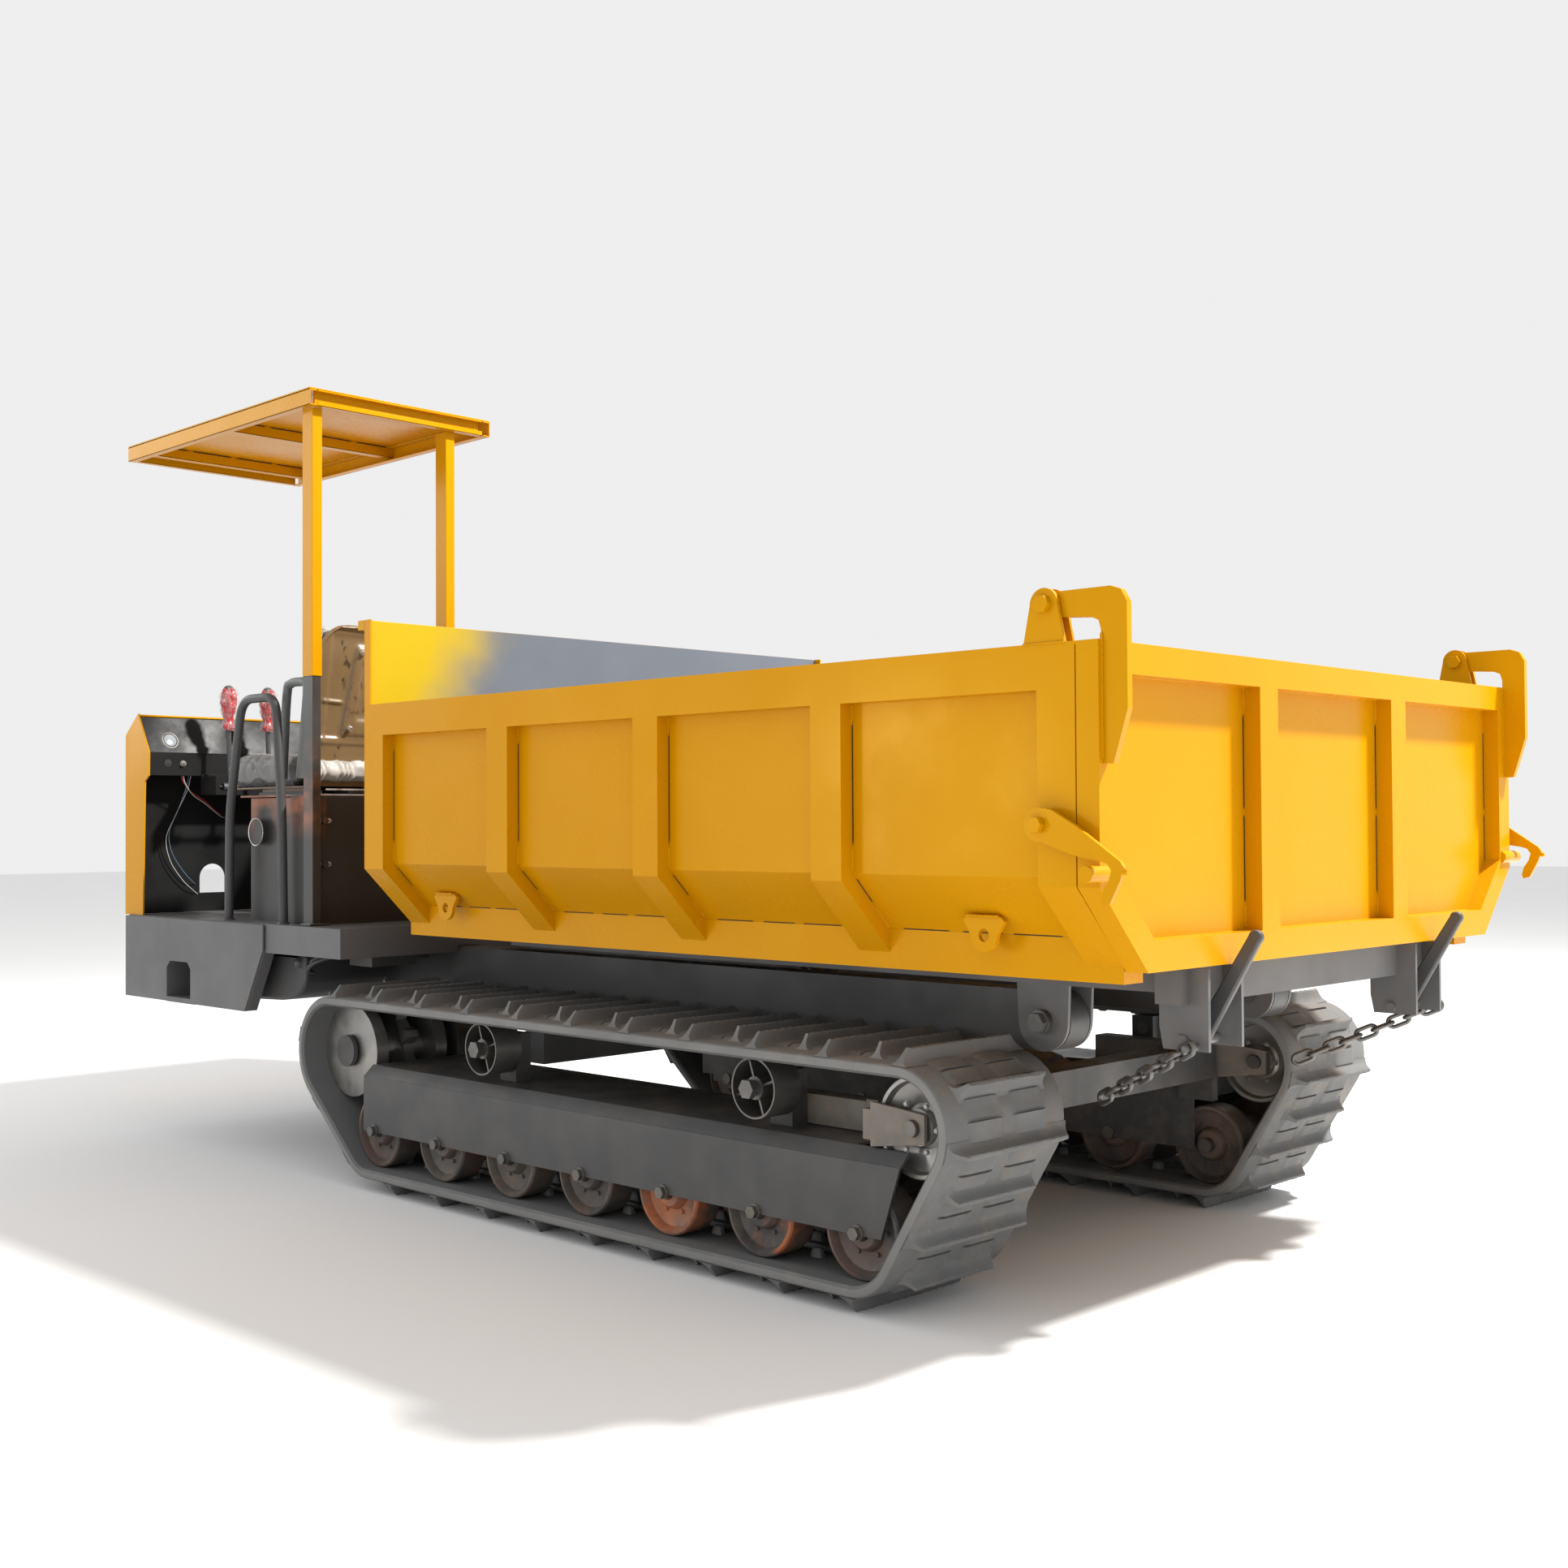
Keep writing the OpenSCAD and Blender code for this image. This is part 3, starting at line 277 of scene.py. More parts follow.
def seat_paint():
    s = Shade("seat_brown_paint", Specular_IOR_Level=0.5, Coat_Weight=0.2, Coat_Roughness=0.2)
    base = s.mix(s.noise(9.0, 4.0), (0.15, 0.095, 0.045), (0.235, 0.155, 0.075))
    blots = s.span(s.noise(17.0, 5.0, 0.7, stretch=(1, 1, 0.6)), 0.57, 0.66)
    s.colour(s.mix(s.math("MULTIPLY", blots, 0.85), base, (0.025, 0.02, 0.016)))
    s.rough_between(0.28, 0.45, 8.0)
    s.bump(s.noise(45.0, 3.0), 0.1, 0.001)
    return s.material


def cloth_cover():
    s = Shade("seat_cloth", Specular_IOR_Level=0.3, Sheen_Weight=0.15)
    s.colour(s.mix(s.noise(40.0, 5.0), (0.05, 0.05, 0.052), (0.10, 0.10, 0.105)))
    s.rough(0.75)
    s.bump(s.noise(900.0, 2.0), 0.3, 0.0005)
    return s.material


def clear_film(name, alpha):
    """Thin clear film: mostly see-through, with bright creases."""
    s = Shade(name, Specular_IOR_Level=0.9, Alpha=alpha, Coat_Weight=0.6, Coat_Roughness=0.05)
    s.colour(s.mix(s.noise(25.0, 6.0), (0.50, 0.49, 0.46), (0.85, 0.84, 0.80)))
    s.rough_between(0.10, 0.28, 30.0)
    s.bump(s.noise(60.0, 5.0, 0.8, distortion=1.5), 0.6, 0.004)
    return s.material


yellow = yellow_paint("yellow_paint")
yellow_trim = yellow_paint("yellow_trim_paint", wave=0.15)
black = black_paint("black_paint", tone=0.060)
frame_black = black_paint("track_frame_paint", tone=0.052, dust=0.30, top_height=0.8)
# Painted light: a lighter copy of the black paint for the box's subframe, making up for the shade it sits in under
# the box.
beam_black_painted_light = black_paint("subframe_paint_painted_light", tone=0.11, dust=0.25)
cover_black = black_paint("track_cover_paint", tone=0.050, dust=0.10, gloss=0.55)
skirt_black = black_paint("skirt_paint", tone=0.105, dust=0.15)
cab_black = black_paint("cab_paint", tone=0.012, dust=0.08, gloss=0.18)
post_black = rusty_black("post_paint")
rubber = dusty_rubber_painted_side_light()
primer = primer_inside()
seam_dark = plastic("open_seam", (0.045, 0.02, 0.004), 0.8)
pin_metal = metal("pin_steel", 0.16, 0.38, dust=0.55)
bright_metal = metal("bright_steel", 0.62, 0.2, dust=0.12)
zinc = metal("zinc_bolts", 0.45, 0.28, dust=0.15, tint=(1.0, 0.97, 0.86), height=0.5)
worn_rim = metal("worn_steel", 0.35, 0.3, dust=0.55)
engine_paint = metal("engine_castings", 0.14, 0.5, dust=0.3, metallic=0.4)
chrome = metal("rod_chrome", 0.75, 0.07, dust=0.02, metallic=1.0)
dusty_beam = metal("dusty_beam", 0.20, 0.6, dust=0.95, metallic=0.2, tint=(1.0, 0.92, 0.82), height=1.4)


# ---------- building pieces ----------
def piece(name, mesh, body, slot, *materials, replaces=()):
    """A Blender object in the row frame that rides on a CAD body."""
    obj = bpy.data.objects.new(name, mesh)
    bpy.context.scene.collection.objects.link(obj)
    for m in materials:
        obj.data.materials.append(m)
    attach(obj, body)
    if replaces:
        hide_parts(*replaces)
    return obj


def finish_mesh(bm, name, sharp=35.0):
    mesh = bpy.data.meshes.new(name)
    bmesh.ops.recalc_face_normals(bm, faces=bm.faces)
    bm.to_mesh(mesh)
    bm.free()
    mesh.shade_smooth()
    mesh.set_sharp_from_angle(angle=math.radians(sharp))
    return mesh


def fitting(name, bm, sharp, material, body="machine"):
    """A small fitting on a black-painted part."""
    return piece(name, finish_mesh(bm, name, sharp), body, "black_paint", material)


def soft(node, material, width=0.003, other=None, inside=None, segments=2):
    """Stands for a CAD node with the same shape, its sharp edges rounded off.

    inside(face) picks the faces that take the other material."""
    bm = bmesh.new()
    bm.from_mesh(frame["nodes"][node].data)
    bmesh.ops.remove_doubles(bm, verts=bm.verts, dist=1e-5)
    bmesh.ops.dissolve_limit(bm, angle_limit=math.radians(0.6), verts=bm.verts, edges=bm.edges)
    for face in bm.faces:
        face.material_index = 1 if inside and inside(face) else 0
    mesh = finish_mesh(bm, node + "_look")
    obj = piece(node + "_look", mesh, BODY_OF[node], SLOT_OF[node], material, replaces=[node])
    if other:
        mesh.materials.append(other)
    if width:
        bevel = obj.modifiers.new("edges", "BEVEL")
        bevel.width = width
        bevel.segments = segments
        bevel.limit_method = "ANGLE"
        bevel.angle_limit = math.radians(32)
        bevel.miter_outer = "MITER_ARC"
        normals = obj.modifiers.new("normals", "WEIGHTED_NORMAL")
        normals.keep_sharp = True
    return obj


def ring_faces(bm, a, b, closed=True):
    n = len(a)
    for k in range(n if closed else n - 1):
        j = (k + 1) % n
        bm.faces.new((a[k], a[j], b[j], b[k]))


def stack(bm, rings):
    """Joins neighbouring rings of corners and closes both ends."""
    for a, b in zip(rings, rings[1:]):
        ring_faces(bm, a, b)
    bm.faces.new(rings[0])
    bm.faces.new(rings[-1])


def add_lathe(bm, profile, centre, y0, sign=1, steps=48):
    """Turns a profile of (radius, y) round a line along Y through centre (x, z)."""
    rings = []
    for radius, y in profile:
        ring = []
        for k in range(steps):
            a = 2 * math.pi * k / steps
            ring.append(bm.verts.new((centre[0] + radius * math.cos(a), y0 + sign * y,
                centre[1] + radius * math.sin(a))))
        rings.append(ring)
    stack(bm, rings)


def smooth_path(points, step=0.02):
    """A Catmull-Rom curve through the points, cut into short steps."""
    pts = [Vector(p) for p in points]
    pts = [pts[0] * 2 - pts[1]] + pts + [pts[-1] * 2 - pts[-2]]
    out = [pts[1]]
    for i in range(1, len(pts) - 2):
        a, b, c, d = pts[i - 1:i + 3]
        n = max(2, int((c - b).length / step))
        for k in range(1, n + 1):
            t = k / n
            out.append(0.5 * ((2 * b) + (c - a) * t + (2 * a - 5 * b + 4 * c - d) * t * t
                + (3 * b - a - 3 * c + d) * t ** 3))
    return out


def add_tube(bm, path, radius, sides=12, ripple=0.0):
    """A closed round tube along the path; ripple makes it bumpy, as a weld bead is."""
    side = None
    rings = []
    for i, p in enumerate(path):
        ahead = (path[min(i + 1, len(path) - 1)] - path[max(i - 1, 0)]).normalized()
        if side is None:
            side = ahead.orthogonal().normalized()
        side = (side - ahead * side.dot(ahead)).normalized()
        up = ahead.cross(side)
        r = radius * (1 + ripple * math.sin(i * 2.1) + ripple * random.uniform(-0.5, 0.5))
        rings.append([bm.verts.new(p + (side * math.cos(a) + up * math.sin(a)) * r) for a
            in (2 * math.pi * k / sides for k in range(sides))])
    stack(bm, rings)


def add_box(bm, low, high, matrix=None):
    corners = [Vector((x, y, z)) for x in (low[0], high[0]) for y in (low[1], high[1]) for z
        in (low[2], high[2])]
    v = [bm.verts.new(matrix @ c if matrix else c) for c in corners]
    for f in ((0, 1, 3, 2), (4, 6, 7, 5), (0, 4, 5, 1), (2, 3, 7, 6), (0, 2, 6, 4), (1, 5, 7, 3)):
        bm.faces.new([v[i] for i in f])


def basis(origin, direction):
    """A frame at origin whose Z points along direction."""
    q = Vector(direction).normalized().to_track_quat("Z", "Y")
    return Matrix.Translation(origin) @ q.to_matrix().to_4x4()


def add_prism(bm, place, rings):
    """Stacks rings of (sides, radius, height) along the place's Z axis into one closed solid."""
    made = []
    for sides, radius, height in rings:
        made.append([bm.verts.new(place @ Vector((radius * math.cos(a), radius * math.sin(a), height)))
            for a in (2 * math.pi * k / sides for k in range(sides))])
    stack(bm, made)


def add_bolt(bm, at, direction, flats, head=None, stud=0.0):
    """A hexagon head with chamfered corners on a washer; stud is how far the thread stands out."""
    head = head or flats * 0.55
    place = basis(at, direction)
    r = flats / math.sqrt(3)
    add_prism(bm, place, [(24, r * 1.22, 0), (24, r * 1.22, flats * 0.08), (24, r * 1.18, flats * 0.1)])
    top = flats * 0.1 + head
    add_prism(bm, place, [(6, r, flats * 0.1), (6, r, top - flats * 0.06), (6, r * 0.86, top)])
    if stud:
        add_prism(bm, place, [(16, flats * 0.3, top - 0.001), (16, flats * 0.3, top + stud - 0.002),
            (16, flats * 0.24, top + stud)])


def bolts(name, places, body, slot, material):
    bm = bmesh.new()
    for place in places:
        add_bolt(bm, *place)
    return piece(name, finish_mesh(bm, name), body, slot, material)


def beads(name, runs, body, slot, material, radius=0.0035):
    """Weld beads along straight runs."""
    bm = bmesh.new()
    for a, b in runs:
        a, b = Vector(a), Vector(b)
        n = max(2, int((b - a).length / 0.005))
        add_tube(bm, [a.lerp(b, i / n) for i in range(n + 1)], radius, 6, 0.16)
    return piece(name, finish_mesh(bm, name, 60), body, slot, material)


def slits(name, runs, body, slot, material, width=0.0036, proud=0.0007):
    """Open, unwelded joints: each run is two points, the surface's outward normal and a width factor."""
    bm = bmesh.new()
    for a, b, normal in runs:
        a, b, n = Vector(a), Vector(b), Vector(normal).normalized()
        across = (b - a).normalized().cross(n) * width / 2
        ends = []
        for p, taper in ((a, 0.25), (a.lerp(b, 0.03), 1), (b.lerp(a, 0.03), 1), (b, 0.25)):
            ends.append([bm.verts.new(p + across * taper * k + n * h) for k,
                h in ((-1, -proud), (-1, proud), (1, proud), (1, -proud))])
        stack(bm, ends)
    return piece(name, finish_mesh(bm, name), body, slot, material)


# ---------- places taken from the frame ----------
box_low, box_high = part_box("dump_box")
MID = (box_low.x + box_high.x) / 2      # X of the dump box's middle
HALF_L = (box_high.x - box_low.x) / 2
HALF_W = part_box("box_ribs")[1].y
RIB_DEEP = 0.041
PANEL_Y = HALF_W - RIB_DEEP
BOX_TOP = 1.562
BEND = 1.038
PANEL_BEND = BEND + 0.017
FLOOR_Z = box_low.z + 0.069
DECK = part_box("deck")[1].z
belt_low, belt_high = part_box("left_track_belt")
TRACK_Y = (belt_low.y + belt_high.y) / 2
BELT_HALF = (belt_high.y - belt_low.y) / 2
BELT_THICK = 0.030
BELT_GAP = 0.001                        # air between a wheel and the belt
SPROCKET_ROOT = 0.155                   # radius the belt takes round the sprocket
LUG_HIGH = 0.040


def at(x, y, z):
    """A point given from the middle of the dump box."""
    return Vector((MID + x, y, z))


def centre_of(node):
    low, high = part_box(node)
    return Vector(((low.x + high.x) / 2, (low.y + high.y) / 2, (low.z + high.z) / 2))


def outer_radius(node):
    low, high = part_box(node)
    return (high.x - low.x) / 2


# ---------- tracks ----------
def belt_wheels():
    """X, Z and radius of the belt's inner face at the four circles it runs round."""
    found = []
    for node in ("left_drive_sprocket", "left_idler_wheel", "left_bottom_roller_1", "left_bottom_roller_7"):
        c = centre_of(node)
        if "sprocket" in node:
            c, r = JOINT["left_sprocket_spin"]["pos_m"], SPROCKET_ROOT
        else:
            r = outer_radius(node) + BELT_GAP
        found.append((c[0], c[2], r))
    return found


class BeltPath:
    """The belt's loop: place(s, off) gives X, Z and the outward normal's angle at length s."""

    def __init__(self, wheels, mid):
        self.wheels, self.mid, self.parts = wheels, mid, []
        leave = []
        for i, (x, z, r) in enumerate(wheels):
            x1, z1, r1 = wheels[(i + 1) % 4]
            leave.append(math.atan2(z1 - z, x1 - x) - math.acos((r - r1) / math.hypot(x1 - x, z1 - z)))
        for i, (x, z, r) in enumerate(wheels):
            x1, z1, r1 = wheels[(i + 1) % 4]
            run = math.sqrt((x1 - x) ** 2 + (z1 - z) ** 2 - (r - r1) ** 2)
            turn = (leave[(i + 1) % 4] - leave[i]) % (2 * math.pi)
            self.parts.append((i, leave[i], run, None))
            self.parts.append(((i + 1) % 4, leave[i], (r1 + mid) * turn, turn))
        self.length = sum(p[2] for p in self.parts)

    def place(self, s, off):
        s %= self.length
        for i, angle, length, turn in self.parts:
            if s > length:
                s -= length
                continue
            x, z, r = self.wheels[i]
            a = angle if turn is None else angle + s / (r + self.mid)
            along = s if turn is None else 0.0
            return (x + (r + off) * math.cos(a) - along * math.sin(a),
                z + (r + off) * math.sin(a) + along * math.cos(a), a)
        return self.place(0, off)


belt = BeltPath(belt_wheels(), BELT_THICK / 2)
LUGS = 50
LUG_PITCH = belt.length / LUGS
LUG_START = 0.025


def on_belt(s, y, off):
    x, z, _ = belt.place(s, off)
    return Vector((x, y, z))


def lug_frame(j, off):
    """Axes of lug j: X across the belt, Y along its travel, Z outwards."""
    x, z, a = belt.place(LUG_START + j * LUG_PITCH, off)
    out = Vector((math.cos(a), 0, math.sin(a)))
    ahead = Vector((-math.sin(a), 0, math.cos(a)))
    m = Matrix((Vector((0, 1, 0)), ahead, out)).transposed().to_4x4()
    m.translation = (x, TRACK_Y, z)
    return m


def add_belt_body(bm):
    steps = 420
    half, edge, groove, deep = BELT_HALF, 0.007, 0.025, 0.012
    section = [(-half, edge), (-half, BELT_THICK - edge), (-half + edge * 0.4, BELT_THICK - edge * 0.4),
        (-half + edge, BELT_THICK), (-0.09, BELT_THICK), (0.0, BELT_THICK + 0.002), (0.09, BELT_THICK),
        (half - edge, BELT_THICK), (half - edge * 0.4, BELT_THICK - edge * 0.4), (half, BELT_THICK - edge),
        (half, edge), (half - edge, 0.0), (groove + 0.004, 0.0), (groove, deep), (-groove, deep),
        (-groove - 0.004, 0.0), (-half + edge, 0.0)]
    rings = []
    for k in range(steps):
        s = belt.length * k / steps
        rings.append([bm.verts.new(on_belt(s, TRACK_Y + y, off)) for y, off in section])
    for k in range(steps):
        ring_faces(bm, rings[k], rings[(k + 1) % steps])


def add_lug(bm, j):
    """A blade with a broad root, sloped ends and a worn, slightly ragged tip."""
    m = lug_frame(j, BELT_THICK)
    long_one = j % 2 == 0
    base = BELT_HALF - 0.002 if long_one else BELT_HALF * 0.72
    slope = 0.034 if long_one else 0.019
    side = [(0.026, -0.001), (0.0165, 0.004), (0.0105, 0.012), (0.0080, 0.024), (0.0072, 0.034),
        (0.0064, LUG_HIGH - 0.0018), (0.0038, LUG_HIGH)]
    outline = side + [(-w, h) for w, h in reversed(side)]
    stations = 26
    rings = []
    for k in range(stations + 1):
        u = 2 * k / stations - 1
        ring = []
        for w, h in outline:
            reach = base - slope * max(0.0, h / LUG_HIGH)
            pinch = 1 - 0.30 * max(0.0, (abs(u) - 0.93) / 0.07) * min(1, h / 0.02)
            wear = 0.0
            if h > 0.03:
                wear = random.uniform(-0.0014, 0.0) - (0.0016 if k % 2 else 0)
            ring.append(bm.verts.new(m @ Vector((reach * u, w * pinch, h + wear))))
        rings.append(ring)
    stack(bm, rings)


def add_web(bm, j):
    """The low ridge that joins neighbouring lugs along the belt's middle, split halfway."""
    gap = 0.004
    start = LUG_START + j * LUG_PITCH
    for a, b in ((0.018, LUG_PITCH / 2 - gap), (LUG_PITCH / 2 + gap, LUG_PITCH - 0.018)):
        for y in (-0.085, 0.085):
            rings = []
            for k in range(5):
                s = start + a + (b - a) * k / 4
                high = 0.0045 + 0.0035 * abs(k - 2) / 2
                rings.append([bm.verts.new(on_belt(s, TRACK_Y + y + w, BELT_THICK + h)) for w,
                    h in ((-0.070, -0.002), (-0.058, high * 0.7), (-0.045, high), (0.045, high),
                    (0.058, high * 0.7), (0.070, -0.002))])
            stack(bm, rings)


def add_horns(bm):
    for j in range(LUGS):
        x, z, a = belt.place(LUG_START + j * LUG_PITCH, 0)
        out = Vector((math.cos(a), 0, math.sin(a)))
        ahead = Vector((-math.sin(a), 0, math.cos(a)))
        for side in (-1, 1):
            m = Matrix((Vector((0, 1, 0)), ahead, -out)).transposed().to_4x4()
            m.translation = Vector((x, TRACK_Y + side * 0.0665, z)) + out * 0.002
            rings = []
            for w, l, h in ((0.0115, 0.020, 0), (0.0105, 0.0165, 0.014), (0.0085, 0.0135, 0.0225),
                    (0.006, 0.010, 0.0255)):
                rings.append([bm.verts.new(m @ Vector((w * cx, l * cy, h))) for cx,
                    cy in ((-1, -0.7), (-0.6, -1), (0.6, -1), (1, -0.7), (1, 0.7), (0.6, 1), (-0.6, 1),
                    (-1, 0.7))])
            stack(bm, rings)


def mirrored(mesh, name):
    """The same mesh on the machine's other side."""
    copy = mesh.copy()
    copy.name = name
    copy.transform(Matrix.Scale(-1, 4, (0, 1, 0)))
    copy.flip_normals()
    return copy


def make_belts():
    bm = bmesh.new()
    add_belt_body(bm)
    for j in range(LUGS):
        add_lug(bm, j)
        add_web(bm, j)
    add_horns(bm)
    left = finish_mesh(bm, "left_belt_look", 40)
    right = mirrored(left, "right_belt_look")
    for side, mesh in (("left", left), ("right", right)):
        piece(f"{side}_belt_look", mesh, "machine", "belt_rubber", rubber, replaces=[f"{side}_track_belt"])


def add_bottom_roller(bm, c, sign):
    y0 = TRACK_Y * sign
    r = outer_radius("left_bottom_roller_1")
    for s in (-1, 1):
        add_lathe(bm, [(r - 0.004, 0.090), (r, 0.094), (r, 0.172), (r - 0.004, 0.177), (r - 0.012, 0.178),
            (r - 0.015, 0.172), (r - 0.022, 0.156), (0.075, 0.150), (0.052, 0.152), (0.046, 0.170),
            (0.040, 0.176), (0.023, 0.177), (0.0205, 0.174), (0.0205, 0.094), (0.06, 0.090)], (c.x, c.z),
            y0, s, 56)
    add_lathe(bm, [(0.0205, -0.12), (0.062, -0.12), (0.062, 0.12), (0.0205, 0.12)], (c.x, c.z), y0, 1, 40)


def roller_bolts(bm, c, sign):
    """Six small cap screws round the hub of a bottom roller's outer face."""
    for k in range(6):
        a = k * math.pi / 3
        for s in (-1, 1):
            at = (c.x + 0.062 * math.cos(a), TRACK_Y * sign + s * 0.1505, c.z + 0.062 * math.sin(a))
            add_bolt(bm, at, (0, s, 0), 0.011)


def make_rollers():
    plain = roller_iron("roller_paint", 0.12)
    orange = roller_iron("roller_primer", 0.95)
    for side, sign in SIDES.items():
        for n in range(1, 8):
            node = f"{side}_bottom_roller_{n}"
            bm = bmesh.new()
            add_bottom_roller(bm, centre_of(node), sign)
            roller_bolts(bm, centre_of(node), sign)
            show = orange if n in (2, 3) and side == "left" else plain
            piece(node + "_look", finish_mesh(bm, node, 30), BODY_OF[node], "wheel_iron", show,
                replaces=[node])


def make_idlers():
    for side, sign in SIDES.items():
        node = f"{side}_idler_wheel"
        c, r = centre_of(node), outer_radius(node)
        bm = bmesh.new()
        for s in (-1, 1):
            add_lathe(bm, [(r - 0.003, 0.088), (r, 0.091), (r, 0.146), (r - 0.003, 0.150),
                (r - 0.012, 0.150), (r - 0.018, 0.134), (0.055, 0.122), (0.046, 0.126), (0.044, 0.146),
                (0.0205, 0.147), (0.0205, 0.092), (0.08, 0.088)], (c.x, c.z), TRACK_Y * sign, s, 64)
        add_lathe(bm, [(0.0205, -0.10), (0.080, -0.10), (0.080, 0.10), (0.0205, 0.10)], (c.x, c.z),
            TRACK_Y * sign, 1, 48)
        roller_bolts(bm, c, sign)
        piece(node + "_look", finish_mesh(bm, node, 30), BODY_OF[node], "roller_steel", worn_rim,
            replaces=[node])


make_belts()
make_rollers()
make_idlers()
for side, sign in SIDES.items():
    for n in (1, 2):
        soft(f"{side}_carrier_roller_{n}", pin_metal, 0.0012)
    soft(f"{side}_drive_sprocket", worn_rim, 0.002)
for node, paint, width in (
        ("track_frames", frame_black, 0.0015),
        ("track_covers", cover_black, 0.0018),
        ("idler_yokes", dusty_beam, 0.002),
        ("drive_motors", black, 0.003),
        ("axles_and_pins", pin_metal, 0.0018),
):
    soft(node, paint, width)

# ---------- chassis and deck ----------
for node, paint, width in (
        ("chassis_frame", frame_black, 0.004),
        ("deck", skirt_black, 0.002),
        ("step_skirts", skirt_black, 0.0015),
        ("hydraulic_tank", frame_black, 0.010),
        ("pump_block", engine_paint, 0.003),
        ("engine", engine_paint, 0.006),
        ("engine_hood", yellow, 0.0018),
        ("engine_bay", cab_black, 0.0015),
):
    soft(node, paint, width)


# ---------- dump box ----------
def inside_box(face):
    c, n = face.calc_center_median(), face.normal
    if not MID - HALF_L < c.x < MID + HALF_L - 0.004:
        return False
    if c.z > BOX_TOP + 0.01 and n.x < -0.5:
        return abs(c.y) < HALF_W
    return (abs(n.y) > 0.3 and n.y * c.y < 0 and c.z > FLOOR_Z + 0.004) or (n.z > 0.7 and c.z < BEND) \
        or (n.x < -0.5 and abs(c.y) < PANEL_Y)


soft("dump_box", yellow, 0.0015, primer, inside_box)
for node, paint, width in (
        ("box_ribs", yellow, 0.007),
        ("hinge_bolts", yellow_trim, 0.0015),
        ("box_subframe", beam_black_painted_light, 0.003),
        ("tailgate", yellow, 0.004),
):
    soft(node, paint, width)
for side in SIDES:
    soft(f"{side}_latch_lever", yellow_trim, 0.0018)
    soft(f"{side}_release_prong", black, 0.005)
    soft(f"{side}_control_lever", black, 0.002)
soft("cylinder_barrel", black, 0.003)
soft("cylinder_rod", chrome, 0.002)

# ---------- operator's station ----------
soft("cowl", cab_black, 0.002)
soft("cowl_plates", yellow, 0.0015)
soft("seat_box", post_black, 0.004)


POST_SPLIT = 1.69       # height at which the black posts turn yellow
POST_HEAD = 2.0         # above this everything on the posts is yellow


def yellow_above(face):
    height = face.calc_center_median().z
    return height > POST_SPLIT and abs(face.normal.z) < 0.5 or height > POST_HEAD


soft("canopy_posts", post_black, 0.006, yellow_trim, yellow_above)


# ---------- seat ----------
SEAT_Y, SEAT_HALF = 0.650, 0.225
seat_brown = seat_paint()
film, thin_film = clear_film("clear_film", 0.42), clear_film("thin_film", 0.22)


def seat_relief(y, v):
    """How far the pressed back pan stands out, y from its middle line and v from its foot to its top."""
    def step(value, edge, width=0.006):
        return 1 / (1 + math.exp(-max(-40, min(40, (value - edge) / width * 2))))
    half = SEAT_HALF - 0.040
    field = step(half - 0.02 - abs(y), 0) * step(v, 0.19, 0.02) * step(0.93 - v, 0, 0.02)
    lean = 0.118 - 0.055 * v
    panel = step(lean - abs(y), 0) * step(v, 0.24, 0.015) * step(0.86 - v, 0, 0.015)
    window = step(0.058 - 0.020 * v - abs(y), 0) * step(v, 0.36, 0.015) * step(0.74 - v, 0, 0.015)
    shelf = step(0.030 - abs(v - 0.21) * 1.2, 0, 0.01)
    cross = step(0.012 - abs(v - 0.46 - abs(y) * 0.1), 0, 0.006) * step(abs(y),
        lean + 0.012) * step(half - abs(y), 0)
    return -0.006 * field + 0.014 * panel - 0.008 * window + 0.008 * shelf + 0.006 * cross


